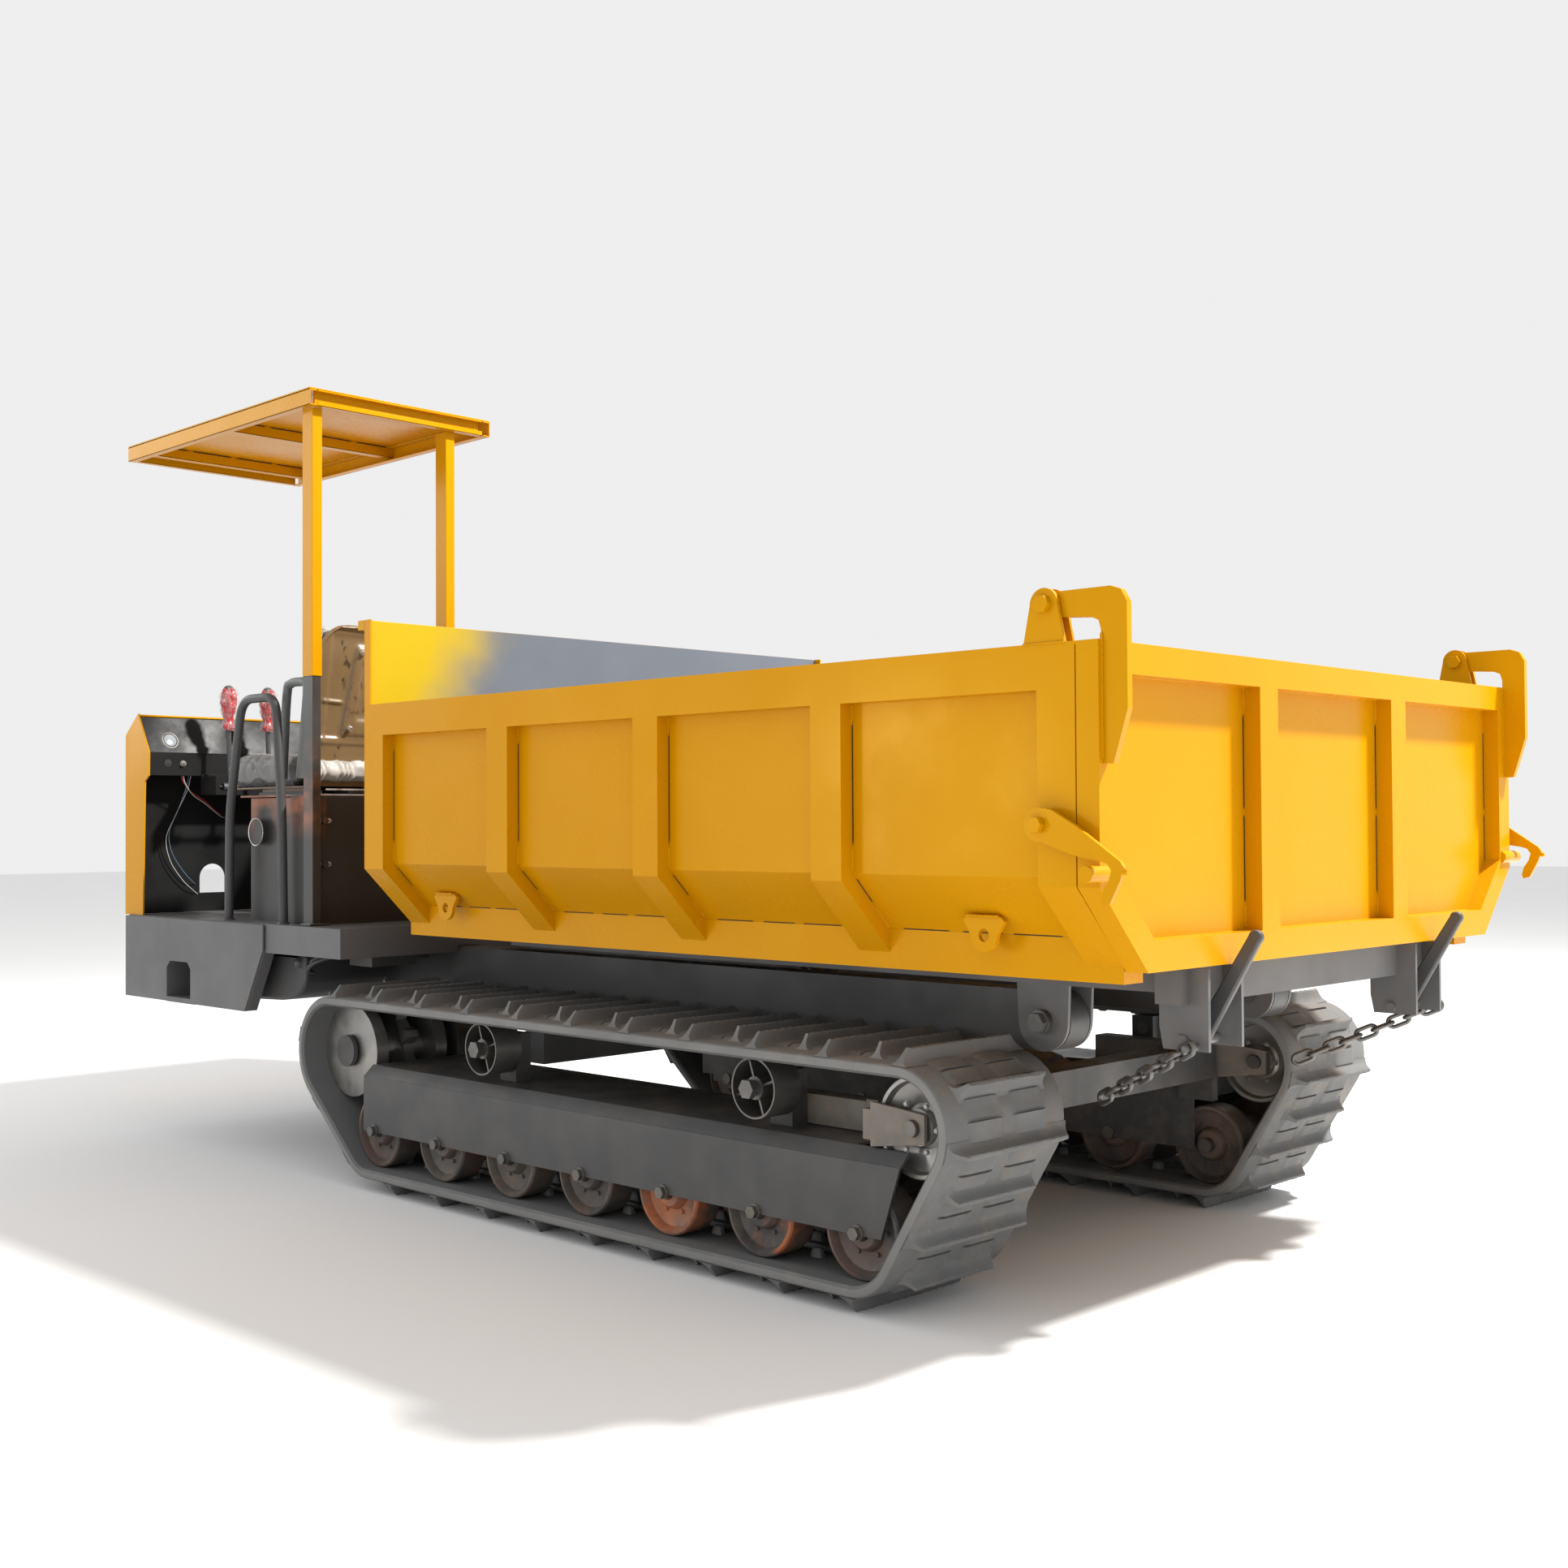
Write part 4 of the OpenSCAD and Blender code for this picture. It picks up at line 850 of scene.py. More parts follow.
def make_seat_shell():
    """The pressed pan behind the seat: rounded upper corners, a rolled rim and embossed panels."""
    across, tall = 92, 112
    bm = bmesh.new()
    front, back = [], []
    foot, head = Vector((2.036, 1.372)), Vector((1.939, 1.888))
    lean = (head - foot).normalized()
    out = Vector((-lean.y, lean.x))
    for j in range(tall + 1):
        v = j / tall
        high = v * (head - foot).length
        drop = max(0.0, high - ((head - foot).length - 0.13))
        half = SEAT_HALF - (0.13 - math.sqrt(max(0.0, 0.13 ** 2 - drop ** 2))) * 0.9
        for i in range(across + 1):
            u = 2 * i / across - 1
            y = u * half
            rim = min(half - abs(y), (1 - v) * 0.53 + 0.002)
            bead = 0.012 * math.exp(-((rim - 0.009) / 0.007) ** 2)
            dome = 0.016 * (1 - u * u)
            h = seat_relief(y, v) + bead + dome
            p = foot + lean * high + out * (h + 0.001)
            q = foot + lean * high + out * (h - 0.0016)
            front.append(bm.verts.new(at(p.x, SEAT_Y + y, p.y)))
            back.append(bm.verts.new(at(q.x, SEAT_Y + y, q.y)))
    n = across + 1
    for j in range(tall):
        for i in range(across):
            a, b, c, d = j * n + i, j * n + i + 1, (j + 1) * n + i + 1, (j + 1) * n + i
            bm.faces.new((front[a], front[b], front[c], front[d]))
            bm.faces.new((back[d], back[c], back[b], back[a]))
    loop = [j * n for j in range(tall + 1)] + [tall * n + i for i in range(1, across + 1)] \
        + [j * n + across for j in range(tall - 1, -1, -1)] + list(range(across - 1, 0, -1))
    for k, a in enumerate(loop):
        b = loop[(k + 1) % len(loop)]
        bm.faces.new((front[a], front[b], back[b], back[a]))
    # seat base and upper rails
    base = bmesh.new()
    for y in (0.470, 0.830):
        add_box(base, at(2.040, y - 0.014, 1.2995), at(2.380, y + 0.014, 1.3118))
    add_box(base, at(2.030, 0.440, 1.312), at(2.560, 0.860, 1.318))
    add_box(base, at(2.030, 0.426, 1.312), at(2.042, 0.874, 1.378))
    bmesh.ops.bevel(base, geom=base.edges[:], offset=0.0015, segments=2, affect="EDGES")
    mesh = bpy.data.meshes.new("seat_base")
    base.to_mesh(mesh)
    base.free()
    bm.from_mesh(mesh)
    piece("seat_pan_look", finish_mesh(bm, "seat_pan", 60), BODY_OF["seat_pan"], SLOT_OF["seat_pan"],
        seat_brown, replaces=["seat_pan"])
    places = []
    for y, v in ((0.075, 0.30), (-0.075, 0.30), (0.052, 0.82), (-0.052, 0.82)):
        p = foot + lean * (v * (head - foot).length) + out * (seat_relief(y, v) + 0.017)
        places.append((at(p.x, SEAT_Y + y, p.y), (out.x, 0, out.y), 0.016))
    bolts("seat_pan_bolts", places, BODY_OF["seat_pan"], SLOT_OF["seat_pan"], bright_metal)


def pillow(name, outline, y_mid, half, material, voxel=0.006, pressure=4.0, cap=0.018):
    """A cushion: its closed block is remeshed, blown up as cloth, and capped in how far it may swell."""
    bm = bmesh.new()
    middle = sum((Vector(p) for p in outline), Vector((0, 0))) / len(outline)
    rings = []
    for y in (-half, half):
        rings.append([bm.verts.new(at(p[0], y_mid + y, p[1])) for p
            in (middle + (Vector(q) - middle) * 0.93 for q in outline)])
    ring_faces(bm, rings[0], rings[1])
    bm.faces.new(rings[0])
    bm.faces.new(rings[1])
    bmesh.ops.bevel(bm, geom=bm.edges[:], offset=0.012, segments=2, affect="EDGES")
    mesh = finish_mesh(bm, name)
    obj = piece(name, mesh, BODY_OF["seat_cushion"], SLOT_OF["seat_cushion"], material)
    remesh = obj.modifiers.new("voxels", "REMESH")
    remesh.mode, remesh.voxel_size = "VOXEL", voxel
    apply_modifiers(obj)
    start = [v.co.copy() for v in obj.data.vertices]
    cloth = obj.modifiers.new("cloth", "CLOTH")
    cloth.settings.use_pressure = True
    cloth.settings.uniform_pressure_force = pressure
    cloth.settings.quality = 4
    cloth.settings.tension_stiffness = cloth.settings.compression_stiffness = 12
    cloth.settings.effector_weights.gravity = 0
    scene = bpy.context.scene
    for f in range(1, 21):
        scene.frame_set(f)
    apply_modifiers(obj)
    scene.frame_set(1)
    for v, a in zip(obj.data.vertices, start):
        move = v.co - a
        if move.length > cap:
            v.co = a + move.normalized() * cap
    return obj


def apply_modifiers(obj):
    graph = bpy.context.evaluated_depsgraph_get()
    mesh = bpy.data.meshes.new_from_object(obj.evaluated_get(graph))
    obj.modifiers.clear()
    old, obj.data = obj.data, mesh
    bpy.data.meshes.remove(old)
    mesh.shade_smooth()


def sew(obj, seams, depth, width):
    """Draws the cover in along sewn lines: seam(p) is the distance from a line in metres."""
    mesh = obj.data
    normals = [v.normal.copy() for v in mesh.vertices]
    for v, n in zip(mesh.vertices, normals):
        pull = sum(math.exp(-(seam(v.co) / width) ** 2) for seam in seams)
        v.co -= n * depth * min(1.0, pull)


def wrinkled(obj, amount, scale):
    """Creases a film over a mesh."""
    mesh = obj.data
    normals = [v.normal.copy() for v in mesh.vertices]
    for v, n in zip(mesh.vertices, normals):
        crease = abs(noise.noise(Vector((v.co.x * scale, v.co.y * scale * 0.45, v.co.z * scale)))) \
            + 0.5 * abs(noise.noise(v.co * scale * 2.3))
        v.co += n * amount * crease


def film_over(name, source, material, keep, amount, scale):
    """Clear film that lies just over a cushion, on the part of it that keep(point) picks."""
    mesh = source.data.copy()
    mesh.name = name
    bm = bmesh.new()
    bm.from_mesh(mesh)
    bm.normal_update()
    for v in bm.verts:
        v.co += v.normal * 0.003
    bmesh.ops.delete(bm, geom=[f for f in bm.faces if not keep(f.calc_center_median())], context="FACES")
    bm.to_mesh(mesh)
    bm.free()
    mesh.materials.clear()
    obj = piece(name, mesh, BODY_OF["seat_cushion"], SLOT_OF["seat_cushion"], material)
    wrinkled(obj, amount, scale)
    mesh.shade_smooth()
    return obj


def make_cushions():
    cover = cloth_cover()
    seat = pillow("seat_cushion_look", [(2.112, 1.322), (2.580, 1.322), (2.618, 1.352), (2.612, 1.408),
        (2.585, 1.426), (2.114, 1.412)], SEAT_Y, 0.218, cover)
    back = pillow("seat_back_look", [(2.006, 1.392), (2.094, 1.430), (2.082, 1.505), (2.040, 1.880),
        (1.994, 1.906), (1.958, 1.888)], SEAT_Y, 0.206, cover)
    foot, head = at(2.036, 0, 1.372), at(1.939, 0, 1.888)
    along = (head - foot).normalized()
    out = Vector((-along.z, 0, along.x))
    for v in back.data.vertices:
        over = (v.co - foot).dot(out) + 0.006
        if over > 0:
            v.co -= out * over
    for v in seat.data.vertices:
        v.co.z = max(v.co.z, 1.3186)
    sew(seat, [lambda p: min(abs(p.x - MID - 2.27), abs(p.x - MID - 2.43)) if p.z > 1.38 else 1.0,
        lambda p: abs(abs(p.y - SEAT_Y) - 0.155) if p.z > 1.38 else 1.0], 0.007, 0.006)
    sew(back, [lambda p: abs(p.z - 1.60), lambda p: abs(p.z - 1.75),
        lambda p: abs(abs(p.y - SEAT_Y) - 0.145)], 0.006, 0.006)
    for obj, node in ((seat, "seat_cushion"), (back, "seat_back")):
        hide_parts(node)
    film_over("cushion_film", seat, thin_film, lambda p: p.z > 1.345 + 0.01 * math.sin(p.x * 37), 0.009,
        42.0)
    film_over("back_film", back, film, lambda p: p.z > 1.50 + 0.02 * math.sin(p.y * 31)
        and (p - foot).dot(out) < -0.022, 0.009, 36.0)


def make_film_tail():
    """The gathered end of the cushion's film, bunched below the pan."""
    bm = bmesh.new()
    across, round_steps = 120, 14
    rows = []
    for i in range(across + 1):
        y = 0.432 + 0.436 * i / across
        row = []
        for k in range(round_steps + 1):
            a = math.pi * (0.5 + k / round_steps)
            fold = 0.004 * math.sin(y * 210 + 3 * math.sin(y * 60)) * math.sin(a * 2)
            swell = 1 + 0.12 * noise.noise(Vector((y * 22, k * 0.35, 0)))
            r = 0.036 * swell + fold
            row.append(bm.verts.new(at(2.026 + 1.25 * r * math.cos(a), y, 1.372 + r * math.sin(a) * 1.05)))
        rows.append(row)
    for a, b in zip(rows, rows[1:]):
        ring_faces(bm, a, b, closed=False)
    obj = piece("film_tail", finish_mesh(bm, "film_tail", 80), BODY_OF["seat_cushion"],
        SLOT_OF["seat_cushion"], white_film)


white_film = plastic("white_film", (0.50, 0.48, 0.44), 0.25)
make_seat_shell()
make_cushions()
make_film_tail()


# ---------- operator's station details ----------
def make_armrest():
    """A padded loop frame beside the seat; the film over it is not drawn."""
    corners = [at(2.030, 0.893, 1.345), at(1.985, 0.893, 1.640), at(1.998, 0.893, 1.678),
        at(2.030, 0.893, 1.684), at(2.095, 0.893, 1.680), at(2.122, 0.893, 1.640), at(2.150, 0.893, 1.345)]
    bm = bmesh.new()
    add_tube(bm, smooth_path(corners, 0.012), 0.016, 16)
    piece("armrest_loop", finish_mesh(bm, "armrest_loop", 60), BODY_OF["seat_pan"], SLOT_OF["seat_pan"],
        grey_pad)


def smooth_profile(profile, between=4):
    """The (radius, height) pairs of a profile, with more of them in between."""
    out = []
    for (r0, z0), (r1, z1) in zip(profile, profile[1:]):
        for k in range(between):
            f = k / between
            ease = f * f * (3 - 2 * f)
            out.append((r0 + (r1 - r0) * ease, z0 + (z1 - z0) * f))
    return out + [profile[-1]]


def crumpled_knob(name, centre, body):
    """A lever knob wrapped in crumpled foil, with clear film gathered over it."""
    profile = [(0.019, -0.100), (0.024, -0.088), (0.017, -0.066), (0.021, -0.045), (0.026, -0.022),
        (0.029, 0.0), (0.030, 0.022), (0.029, 0.042), (0.023, 0.060), (0.012, 0.072), (0.003, 0.077)]
    steps = 40
    for part, grow, amount, material, seed in (("foil", 1.0, 0.30, red_foil, 3.0),
            ("wrap", 1.22, 0.55, thin_film, 9.0)):
        bm = bmesh.new()
        rings = []
        for r, z in smooth_profile(profile):
            ring = []
            for k in range(steps):
                a = 2 * math.pi * k / steps
                fold = noise.noise(Vector((math.cos(a) * 2.4 + seed, math.sin(a) * 2.4, z * 42)))
                crease = abs(noise.noise(Vector((math.cos(a) * 4.6, math.sin(a) * 4.6 + seed, z * 95))))
                dent = 1 + amount * (fold - 0.8 * crease)
                rr = r * grow * dent
                ring.append(bm.verts.new(Vector(centre) + Vector((rr * math.cos(a), rr * math.sin(a),
                    z * (0.9 + 0.1 * grow)))))
            rings.append(ring)
        stack(bm, rings)
        piece(f"{name}_{part}", finish_mesh(bm, f"{name}_{part}", 22), body, SLOT_OF["left_control_lever"],
            material)


def wire(name, points, diameter, material, stiffness="limp"):
    """A thin cable that goes from one fixed point to another; its sag is in its points."""
    path = smooth_path([at(*p) for p in points], 0.010)
    bm = bmesh.new()
    add_tube(bm, path, diameter / 2, 10)
    obj = fitting(name, bm, 80, material)
    return obj


def make_wires():
    red, white = plastic("red_wire", (0.42, 0.02, 0.02), 0.35), plastic("white_wire", (0.6, 0.6, 0.6), 0.35)
    blue = plastic("blue_wire", (0.13, 0.22, 0.33), 0.4)
    hose = plastic("hose_rubber", (0.03, 0.03, 0.032), 0.45)
    wire("red_wire", [(3.000, 0.846, 1.3745), (3.010, 0.835, 1.352), (3.030, 0.790, 1.312),
        (3.045, 0.727, 1.279), (3.060, 0.680, 1.246), (3.080, 0.640, 1.225), (3.1035, 0.615, 1.222)], 0.004,
        red)
    wire("white_wire", [(3.000, 0.838, 1.3745), (3.012, 0.825, 1.345), (3.034, 0.780, 1.300),
        (3.050, 0.722, 1.268), (3.066, 0.672, 1.236), (3.084, 0.632, 1.214), (3.1035, 0.606, 1.212)], 0.004,
        white)
    wire("loom_1", [(3.030, 0.800, 1.3745), (3.040, 0.806, 1.330), (3.060, 0.830, 1.240),
        (3.070, 0.862, 1.150), (3.075, 0.846, 1.070), (3.078, 0.800, 1.000), (3.085, 0.760, 0.960),
        (3.1035, 0.735, 0.945)], 0.003, blue)
    wire("loom_2", [(3.030, 0.792, 1.3745), (3.042, 0.800, 1.320), (3.064, 0.838, 1.220),
        (3.074, 0.872, 1.130), (3.080, 0.852, 1.040), (3.084, 0.800, 0.965), (3.090, 0.755, 0.925),
        (3.1035, 0.725, 0.905)], 0.003, white)
    wire("tank_hose_1", [(1.800, 0.8605, 0.735), (1.801, 0.880, 0.735), (1.812, 0.915, 0.731),
        (1.842, 0.940, 0.722), (1.880, 0.938, 0.710), (1.908, 0.922, 0.701), (1.9295, 0.903, 0.695)], 0.014,
        hose, "stiff")
    wire("tank_hose_2", [(1.750, 0.8605, 0.735), (1.751, 0.890, 0.735), (1.766, 0.938, 0.728),
        (1.808, 0.965, 0.712), (1.858, 0.962, 0.692), (1.900, 0.938, 0.674), (1.9295, 0.905, 0.664)], 0.014,
        hose, "stiff")


def make_station_details():
    slot = "black_paint"
    bm = bmesh.new()
    # filler neck: a cone that flares to a bright rim on the seat box's side
    c, y = at(2.280, 0, 1.155), 0.900
    add_lathe(bm, [(0.030, 0.0), (0.030, 0.010), (0.040, 0.020), (0.047, 0.026), (0.050, 0.0275),
        (0.047, 0.0275), (0.040, 0.022), (0.012, 0.012)], (c.x, c.z), y, 1, 40)
    fitting("filler_neck", bm, 40, post_black)
    bm = bmesh.new()
    add_lathe(bm, [(0.0465, 0.0270), (0.0500, 0.0285), (0.0510, 0.0262), (0.0500, 0.0240)], (c.x, c.z), y,
        1, 40)
    fitting("filler_rim", bm, 40, bright_metal)
    places = []
    for z in (1.043, 1.193):
        for yy in (0.905, 0.880, 0.468, 0.443):
            places.append((at(1.866, yy, z), (-1, 0, 0), 0.013, 0.008, 0.006))
    bolts("seat_box_bolts", places, "machine", slot, bright_metal)
    places = [(at(2.990, yy, 1.422), (-1, 0, 0), 0.017, 0.010, 0.005) for yy in (0.845, 0.3, -0.3, -0.9)]
    bolts("dash_bolts", places, "machine", slot, zinc)
    bm = bmesh.new()
    for yy in (0.907, 0.24, -0.24):
        add_prism(bm, basis(at(2.9898, yy, 1.422), (-1, 0, 0)),
            [(24, 0.015, -0.001), (24, 0.015, 0.0006), (24, 0.0125, 0.001)])
    fitting("dash_grommets", bm, 40, seam_black)
    # gauge in the sloping dash
    bm = bmesh.new()
    tilt = Vector((-0.926, 0, 0.378)).normalized()
    place = basis(at(3.0135, 0.888, 1.5115), tilt)
    add_prism(bm, place, [(32, 0.034, 0.0), (32, 0.034, 0.004), (32, 0.030, 0.0055), (32, 0.0285, 0.003)])
    fitting("gauge_rim", bm, 40, bright_metal)
    bm = bmesh.new()
    add_prism(bm, place, [(32, 0.0287, 0.001), (32, 0.0284, 0.0036), (32, 0.022, 0.0046)])
    fitting("gauge_glass", bm, 60, glass)
    # bright strips on the seat platform's rear edge
    bm = bmesh.new()
    for z, y0, y1 in ((1.2835, 0.42, 0.905), (1.3055, 0.52, 0.80)):
        x = 1.8995 if z < 1.3 else 2.0185
        add_box(bm, at(x - 0.0012, y0, z - 0.0028), at(x, y1, z + 0.0028))
    fitting("platform_edges", bm, 30, bright_metal)
    for side in ("left", "right"):
        low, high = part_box(f"{side}_control_lever")
        centre = ((low.x + high.x) / 2 + 0.001, (low.y + high.y) / 2, high.z - 0.078)
        crumpled_knob(f"{side}_knob", centre, BODY_OF[f"{side}_control_lever"])


grey_pad = plastic("grey_vinyl", (0.12, 0.13, 0.125), 0.45)
red_foil = plastic("red_foil", (0.50, 0.05, 0.06), 0.22)
seam_black = plastic("black_rubber", (0.012, 0.012, 0.013), 0.6)
glass = plastic("gauge_glass", (0.30, 0.33, 0.36), 0.06)
make_armrest()
make_wires()
make_station_details()


# ---------- hood fittings --------------------
def make_hood_fittings():
    """Two latches on the hinged hood's outer panel."""
    low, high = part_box("engine_hood")
    bm = bmesh.new()
    for x in (low.x + 0.10, high.x - 0.10):
        add_box(bm, (x - 0.030, low.y - 0.0015, low.z + 0.045), (x + 0.030, low.y + 0.001, low.z + 0.105))
        add_prism(bm, basis((x, low.y - 0.0015, low.z + 0.075), (0, -1, 0)),
            [(24, 0.017, 0), (24, 0.017, 0.0006), (24, 0.012, 0.0012)])
    fitting("hood_latches", bm, 30, black, "hood")


def slot_mesh():
    """Fine black mesh behind the hood's cooling slots."""
    bm = bmesh.new()
    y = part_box("engine_hood")[0].y + 0.012
    pitch = 0.0105
    for k in range(49):
        x = MID + 2.14 + k * pitch
        add_box(bm, (x - 0.0012, y, 1.165), (x + 0.0012, y + 0.0024, 1.415))
    for k in range(24):
        z = 1.170 + k * pitch
        add_box(bm, (MID + 2.135, y + 0.0024, z - 0.0012), (MID + 2.655, y + 0.0048, z + 0.0012))
    fitting("hood_slot_mesh", bm, 30, cab_black, "hood")


make_hood_fittings()
slot_mesh()


# ---------- seams and welds on the box --------------------------
RIB_STARTS = (-0.697, -0.038, 0.619, HALF_L - 0.106)
GATE_PANEL = -HALF_L - 0.015


def slant(t, off=0.0):
    """Y and Z on the slanted wall, t from its foot to its bend."""
    foot, bend = Vector((0.846, 0.889)), Vector((PANEL_Y, PANEL_BEND))
    out = Vector((bend.y - foot.y, foot.x - bend.x)).normalized()
    p = foot.lerp(bend, t) + out * off
    return p.x, p.y


def box_seams():
    runs = []
    for sign in (1, -1):
        for k, start in enumerate(RIB_STARTS):
            x = start - 0.002
            top = 1.425 + 0.012 * (k % 2)
            runs.append((at(x, sign * PANEL_Y, 1.125), at(x, sign * PANEL_Y, top), (0, sign, 0)))
            (y0, z0), (y1, z1) = slant(0.58), slant(0.92)
            runs.append((at(x, sign * y0, z0), at(x, sign * y1, z1), (0, sign, -1)))
        edges = (-HALF_L + 0.1,) + RIB_STARTS
        for k in range(4):
            low = edges[k] + (0.1 if k else 0.0) + 0.05
            high = edges[k + 1] - 0.03
            for f0, f1 in ((0.02, 0.30), (0.36, 0.60), (0.68, 0.97)):
                y, z = slant(0.182)
                runs.append((at(low + (high - low) * f0, sign * y, z),
                    at(low + (high - low) * f1, sign * y, z), (0, sign, -0.6)))
    slits("box_open_seams", runs, "dump_body", "yellow_paint", seam_dark)
    runs = []
    for y in (0.3845, -0.2955, -0.9785):
        for z0, z1 in ((0.985, 1.19), (1.205, 1.43)):
            runs.append((at(GATE_PANEL, y, z0), at(GATE_PANEL, y, z1), (-1, 0, 0)))
    slits("gate_open_seams", runs, "gate", "yellow_paint", seam_dark, 0.0045)


def box_welds():
    runs = []
    for sign in (1, -1):
        for x in (-1.03, 1.10):
            for d in (-0.006, 0.018):
                runs.append((at(x - 0.046, sign * (0.918 + d), 0.962),
                    at(x + 0.046, sign * (0.918 + d), 0.962)))
        ear = -1.293
        runs.append((at(ear - 0.054, sign * 1.0505, BOX_TOP), at(ear + 0.054, sign * 1.0505, BOX_TOP)))
        for start in RIB_STARTS:
            for x in (start, start + 0.1):
                runs.append((at(x, sign * PANEL_Y, BOX_TOP - 0.102),
                    at(x, sign * PANEL_Y, BOX_TOP - 0.150)))
                runs.append((at(x, sign * PANEL_Y, 1.062), at(x, sign * PANEL_Y, 1.115)))
                (y0, z0), (y1, z1) = slant(0.20), slant(0.5)
                runs.append((at(x, sign * y0, z0), at(x, sign * y1, z1)))
        runs.append((at(-HALF_L + 0.1, sign * PANEL_Y, 1.062),
            at(-HALF_L + 0.1, sign * PANEL_Y, BOX_TOP - 0.102)))
    beads("box_welds", runs, "dump_body", "yellow_paint", yellow_trim, 0.0032)
    runs = []
    for sign in (1, -1):
        runs.append((at(-HALF_L - 0.0605, sign * 1.0375, 1.31), at(-HALF_L - 0.0605, sign * 1.0375, 1.575)))
    for y in (-0.34, 0.34):
        for s in (-1, 1):
            runs.append((at(GATE_PANEL, y + s * 0.042, 1.44), at(GATE_PANEL, y + s * 0.042, 1.495)))
            runs.append((at(GATE_PANEL, y + s * 0.042, 0.925), at(GATE_PANEL, y + s * 0.042, 0.975)))
    beads("gate_welds", runs, "gate", "yellow_paint", yellow_trim, 0.0035)


box_seams()
box_welds()


# ---------- chains ----------
def oval(long, wide, bend_steps=8):
    """A link's middle line: two half circles joined by straights, in its own X and Y."""
    r, straight = wide / 2, (long - wide) / 2
    points = []
    for side in (1, -1):
        for k in range(bend_steps + 1):
            a = -math.pi / 2 + math.pi * k / bend_steps
            points.append(Vector((side * (straight + r * math.cos(a)), side * r * math.sin(a), 0)))
    return points


def add_ring_tube(bm, path, radius, sides=10):
    """A tube along a closed flat path."""
    n = len(path)
    rings = []
    for i, p in enumerate(path):
        ahead = (path[(i + 1) % n] - path[i - 1]).normalized()
        side = ahead.cross(UP).normalized()
        rings.append([bm.verts.new(p + (side * math.cos(a) + UP * math.sin(a)) * radius) for a
            in (2 * math.pi * k / sides for k in range(sides))])
    for i in range(n):
        ring_faces(bm, rings[i], rings[(i + 1) % n])


CHAIN_REAR = (-1.398, 0.643, 0.664)
CHAIN_RUN = Vector((0.388, -0.172))     # along X and Z, before the chain turns inwards
CHAIN_TURN = -24                        # degrees


def make_chains():
    links, wire, wide = 9, 0.012, 0.040
    run = CHAIN_RUN
    pitch = run.length / links
    bm = bmesh.new()
    for sign in (1, -1):
        place = Matrix.Translation(at(*CHAIN_REAR)) @ Matrix.Rotation(math.radians(CHAIN_TURN), 4, "Z") \
            @ Matrix.Rotation(-math.atan2(run.y, run.x), 4, "Y")
        mirror = Matrix.Scale(sign, 4, (0, 1, 0))
        for k in range(links):
            one = bmesh.new()
            add_ring_tube(one, oval(pitch + wire + 0.001, wide - wire), wire / 2)
            m = mirror @ place @ Matrix.Translation(((k + 0.5) * pitch, 0, 0)) \
                @ Matrix.Rotation(math.radians((k + 1) % 2 * 90), 4, "X")
            mesh = bpy.data.meshes.new("link")
            bmesh.ops.transform(one, matrix=m, verts=one.verts)
            one.to_mesh(mesh)
            one.free()
            bm.from_mesh(mesh)
            bpy.data.meshes.remove(mesh)
    piece("release_chains_look", finish_mesh(bm, "release_chains", 70), BODY_OF["release_chains"],
        "pin_iron", pin_metal, replaces=["release_chains"])


make_chains()


# ---------- canopy ----------
def make_canopy():
    low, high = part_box("canopy")
    wall, inset = 0.004, 0.030
    bm = bmesh.new()
    z0, z1 = low.z, high.z
    add_box(bm, (low.x, low.y, z1 - 0.005), (high.x, high.y, z1))
    # side rims: a flat web outside, flanges turned in
    for y, s in ((low.y, 1), (high.y, -1)):
        for a, b, za, zb in ((0, wall, z0, z1 - 0.005), (0, inset, z0, z0 + wall),
                (0, inset, z1 - 0.010, z1 - 0.005)):
            ya, yb = sorted((y + s * a, y + s * b))
            add_box(bm, (low.x, ya, za), (high.x, yb, zb))
    # end rims: the web set back, flanges turned out
    for x, s in ((low.x, 1), (high.x, -1)):
        for a, b, za, zb in ((inset - wall, inset, z0, z1 - 0.005), (0.001, inset, z0, z0 + wall),
                (0.001, 0.004, z0, z0 + 0.017), (0, inset, z1 - 0.010, z1 - 0.005)):
            xa, xb = sorted((x + s * a, x + s * b))
            add_box(bm, (xa, low.y + 0.034, za), (xb, high.y - 0.034, zb))
    for x in (low.x + 0.65, high.x - 0.10):
        add_box(bm, (x - 0.020, low.y + wall, z1 - 0.045), (x - 0.016, high.y - wall, z1 - 0.005))
        add_box(bm, (x - 0.020, low.y + wall, z1 - 0.045), (x + 0.020, high.y - wall, z1 - 0.041))
    obj = piece("canopy_look", finish_mesh(bm, "canopy"), "machine", "yellow_paint", yellow,
        replaces=["canopy"])
    bevel = obj.modifiers.new("edges", "BEVEL")
    bevel.width, bevel.segments = 0.0014, 2
    runs = []
    for x in (low.x + 0.65 - 0.0205, high.x - 0.1 - 0.0205):
        for f0, f1 in ((0.05, 0.23), (0.26, 0.47), (0.50, 0.72), (0.75, 0.94)):
            y0, y1 = (low.y + (high.y - low.y) * f for f in (f0, f1))
            runs.append(((x, y0, z1 - 0.0075), (x, y1, z1 - 0.0075), (-1, 0, 0)))
    slits("canopy_open_seams", runs, "machine", "yellow_paint", seam_dark, 0.004)
    runs = []
    for y in (low.y + 0.036, high.y - 0.036):
        runs.append((Vector((low.x + inset, y, z0 + 0.006)), Vector((low.x + inset, y, z1 - 0.012))))
    beads("canopy_welds", runs, "machine", "yellow_paint", yellow_trim, 0.003)


make_canopy()


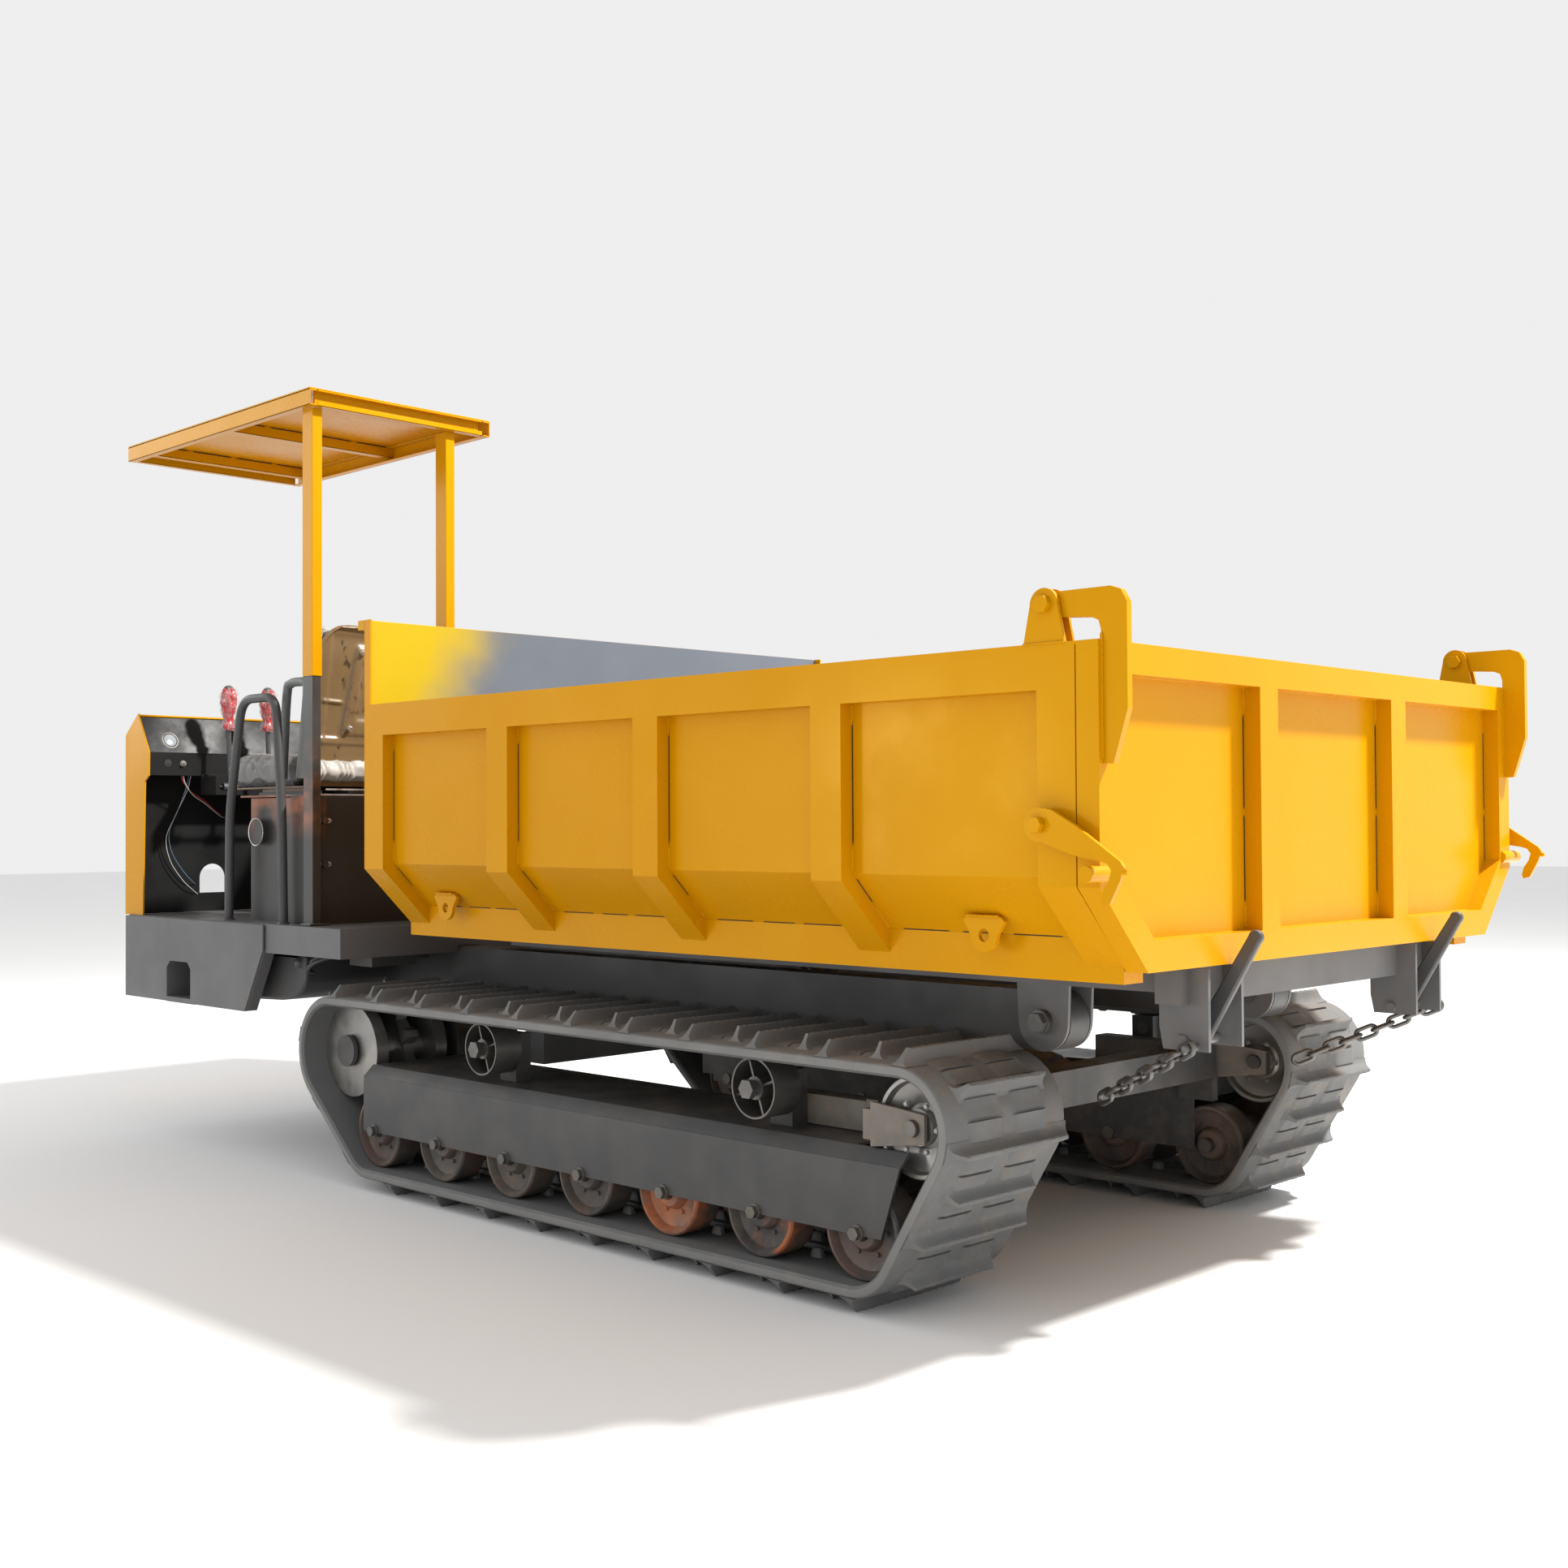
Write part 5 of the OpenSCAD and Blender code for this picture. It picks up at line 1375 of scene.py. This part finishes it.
# ---------- grab rail ----------
def make_grab_rail():
    foot = DECK + 0.0005
    corners = [at(2.412, 0.960, foot), at(2.405, 0.960, 1.230), at(2.318, 0.960, 1.632),
        at(2.082, 0.960, 1.632), at(2.040, 0.960, 1.230), at(2.028, 0.960, foot)]
    path = [corners[0].lerp(corners[1], k / 8) for k in range(8)]
    for a, b, c in zip(corners, corners[1:], corners[2:]):
        p, q = b + (a - b).normalized() * 0.07, b + (c - b).normalized() * 0.07
        path += [p * (1 - t) ** 2 + b * 2 * t * (1 - t) + q * t * t for t in (k / 10 for k in range(11))]
    path += [corners[4].lerp(corners[5], k / 8) for k in range(2, 9)]
    bm = bmesh.new()
    add_tube(bm, path, 0.016, 20)
    for end in (corners[0], corners[-1]):
        add_prism(bm, Matrix.Translation(end), [(20, 0.0215, -0.0004), (20, 0.0205, 0.003),
            (20, 0.0163, 0.0065)])
    piece("grab_rail_look", finish_mesh(bm, "grab_rail", 50), "machine", "black_paint", rail_black,
        replaces=["grab_rail"])


rail_black = black_paint("rail_paint", tone=0.05, dust=0.1)
make_grab_rail()


# ---------- stage ----------
def make_stage():
    bm = bmesh.new()
    add_box(bm, (-40, -40, -0.02), (40, 40, 0))
    floor = bpy.data.objects.new("studio_floor", finish_mesh(bm, "studio_floor"))
    bpy.context.scene.collection.objects.link(floor)
    s = Shade("floor_paint", Specular_IOR_Level=0.2)
    s.colour(s.mix(s.noise(0.8), (0.80, 0.80, 0.80), (0.84, 0.84, 0.84))).rough(0.8)
    floor.data.materials.append(s.material)


def area_light(name, place, target, size, power, tint=(1, 1, 1)):
    data = bpy.data.lights.new(name, "AREA")
    data.shape, data.size, data.energy, data.color = "DISK", size, power, tint
    lamp = bpy.data.objects.new(name, data)
    lamp.location = place
    lamp.rotation_euler = (Vector(target) - Vector(place)).to_track_quat("-Z", "Y").to_euler()
    lamp.visible_camera = False
    bpy.context.scene.collection.objects.link(lamp)


def make_lights():
    """An even pale surround, a high key light behind the far side and a soft patch on the near side."""
    world = bpy.data.worlds.new("studio")
    world.use_nodes = True
    back = world.node_tree.nodes["Background"]
    back.inputs["Color"].default_value = (1.0, 1.0, 1.0, 1)
    back.inputs["Strength"].default_value = 0.86
    bpy.context.scene.world = world
    middle = (0, 0, 0.9)
    area_light("key", (-5.4, -4.0, 8.7), (-1.5, 0, 1.1), 0.8, 2200, (1.0, 0.98, 0.94))
    area_light("near_patch", (MID + 4.3, 7.4, 1.5), (MID, 0.9, 1.2), 1.3, 42)
    area_light("front_fill", (8.0, 3.0, 4.0), middle, 5.0, 110)


def make_camera():
    """The photograph's viewing angle: behind the machine, on the operator's side."""
    data = bpy.data.cameras.new("camera")
    data.lens, data.sensor_width = 40.87, 36.0
    data.clip_end = 200
    cam = bpy.data.objects.new("camera", data)
    bpy.context.scene.collection.objects.link(cam)
    yaw, tilt, roll = (math.radians(v) for v in (45.589, 1.232, -0.311))
    flat = Vector((math.cos(yaw), -math.sin(yaw), 0))
    right = Vector((-math.sin(yaw), -math.cos(yaw), 0))
    ahead = flat * math.cos(tilt) + UP * math.sin(tilt)
    up = UP * math.cos(tilt) - flat * math.sin(tilt)
    x_axis = right * math.cos(roll) + up * math.sin(roll)
    y_axis = up * math.cos(roll) - right * math.sin(roll)
    m = Matrix((x_axis, y_axis, -ahead)).transposed().to_4x4()
    m.translation = (MID - 3.5726, 4.1785, 1.1794)
    cam.matrix_world = m
    bpy.context.scene.camera = cam


make_stage()
make_lights()
make_camera()
bpy.context.scene.view_settings.view_transform = "Standard"
